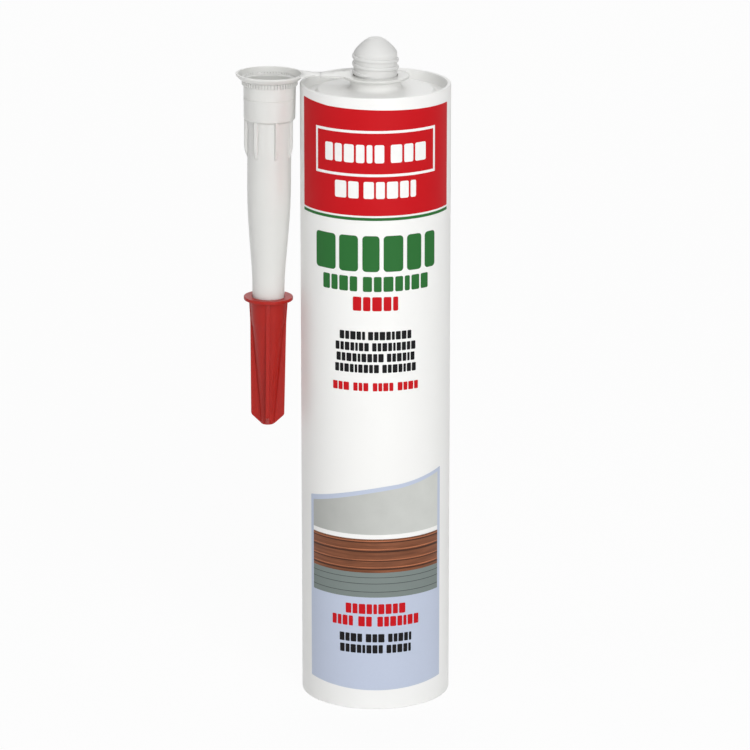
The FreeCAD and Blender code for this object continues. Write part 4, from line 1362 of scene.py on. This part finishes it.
def bars_in(span, height, sizes, radius):
    """Split a bar of a row into letter-wide bars of uneven widths with a gap between them."""
    left, right, low, high, layer = span
    gap = sizes.bar_gap * height / radius
    count = max(1, round((right - left) * radius / (height * sizes.bar_pitch)))
    shares = [BAR_WIDTHS[number % len(BAR_WIDTHS)] for number in range(count)]
    room = (right - left) - gap * (count - 1)
    start = left
    for share in shares:
        width = room * share / sum(shares)
        yield start, start + width, low, high, layer
        start += width + gap


class CARTRIDGE_OT_rows(bpy.types.Operator):
    """Print the rows of bars and the badge's frame"""
    bl_idname = "cartridge.rows"
    bl_label = "Printed Rows"

    def execute(self, context):
        scene = context.scene
        finishes = scene.cartridge_finishes
        sizes = scene.cartridge_print
        radius = scene.cartridge_barrel.radius
        for name in ("white", "green", "red", "black"):
            node = f"print_{name}_marks"
            printer = Printer(scene)
            rows = spans(node)
            if name == "white":
                badge = max(rows, key=lambda span: span[3] - span[2])
                rows.remove(badge)
                self.frame_line(printer, badge, sizes.badge_line)
            for span in rows:
                height = span[3] - span[2]
                corner = BAR_ROUND * height
                if height < TALL_BAR:
                    corner = min(sizes.corner, corner)
                for bar in bars_in(span, height, sizes, radius):
                    printer.patch(bar, corner)
            printer.done(f"{name}_rows", ink(finishes, name), f"print_{name}", node)
        return {"FINISHED"}

    def frame_line(self, printer, badge, line):
        """Print a frame of four lines in place of the whole badge."""
        left, right, low, high, layer = badge
        post = line / printer.barrel.radius
        for side in (
                (left, right, high - line, high), (left, right, low, low + line),
                (left, left + post, low + line, high - line),
                (right - post, right, low + line, high - line)):
            printer.patch((*side, layer), BADGE_CORNER)


class VIEW3D_PT_cartridge(bpy.types.Panel):
    """Buttons that build the cartridge piece by piece"""
    bl_label = "Cartridge"
    bl_space_type = "VIEW_3D"
    bl_region_type = "UI"
    bl_category = "Cartridge"

    def draw(self, context):
        for operator in OPERATORS:
            self.layout.operator(operator.bl_idname)


OPERATORS = (
    CARTRIDGE_OT_stage, CARTRIDGE_OT_barrel, CARTRIDGE_OT_thread, CARTRIDGE_OT_nozzle, CARTRIDGE_OT_grips,
    CARTRIDGE_OT_cap, CARTRIDGE_OT_contents, CARTRIDGE_OT_fields, CARTRIDGE_OT_picture, CARTRIDGE_OT_rows)
GROUPS = {
    "cartridge_barrel": BarrelSizes, "cartridge_neck": NeckSizes, "cartridge_nozzle": NozzleSizes,
    "cartridge_cap": CapSizes, "cartridge_follower": FollowerSizes, "cartridge_print": PrintSizes,
    "cartridge_finishes": Finishes, "cartridge_stage": StageSizes}


def register():
    for group in GROUPS.values():
        bpy.utils.register_class(group)
    for operator in OPERATORS:
        bpy.utils.register_class(operator)
    bpy.utils.register_class(VIEW3D_PT_cartridge)
    for name, group in GROUPS.items():
        setattr(bpy.types.Scene, name, PointerProperty(type=group))


def unregister():
    for name in GROUPS:
        delattr(bpy.types.Scene, name)
    bpy.utils.unregister_class(VIEW3D_PT_cartridge)
    for known in (*OPERATORS, *GROUPS.values()):
        bpy.utils.unregister_class(known)


def main():
    register()
    for operator in OPERATORS:
        family, name = operator.bl_idname.split(".")
        getattr(getattr(bpy.ops, family), name)()
    boxes = {"cad": CAD_BOX, "visual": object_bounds()}
    {name: [list(corner) for corner in box] for name, box in boxes.items()}


if __name__ == "__main__":
    main()
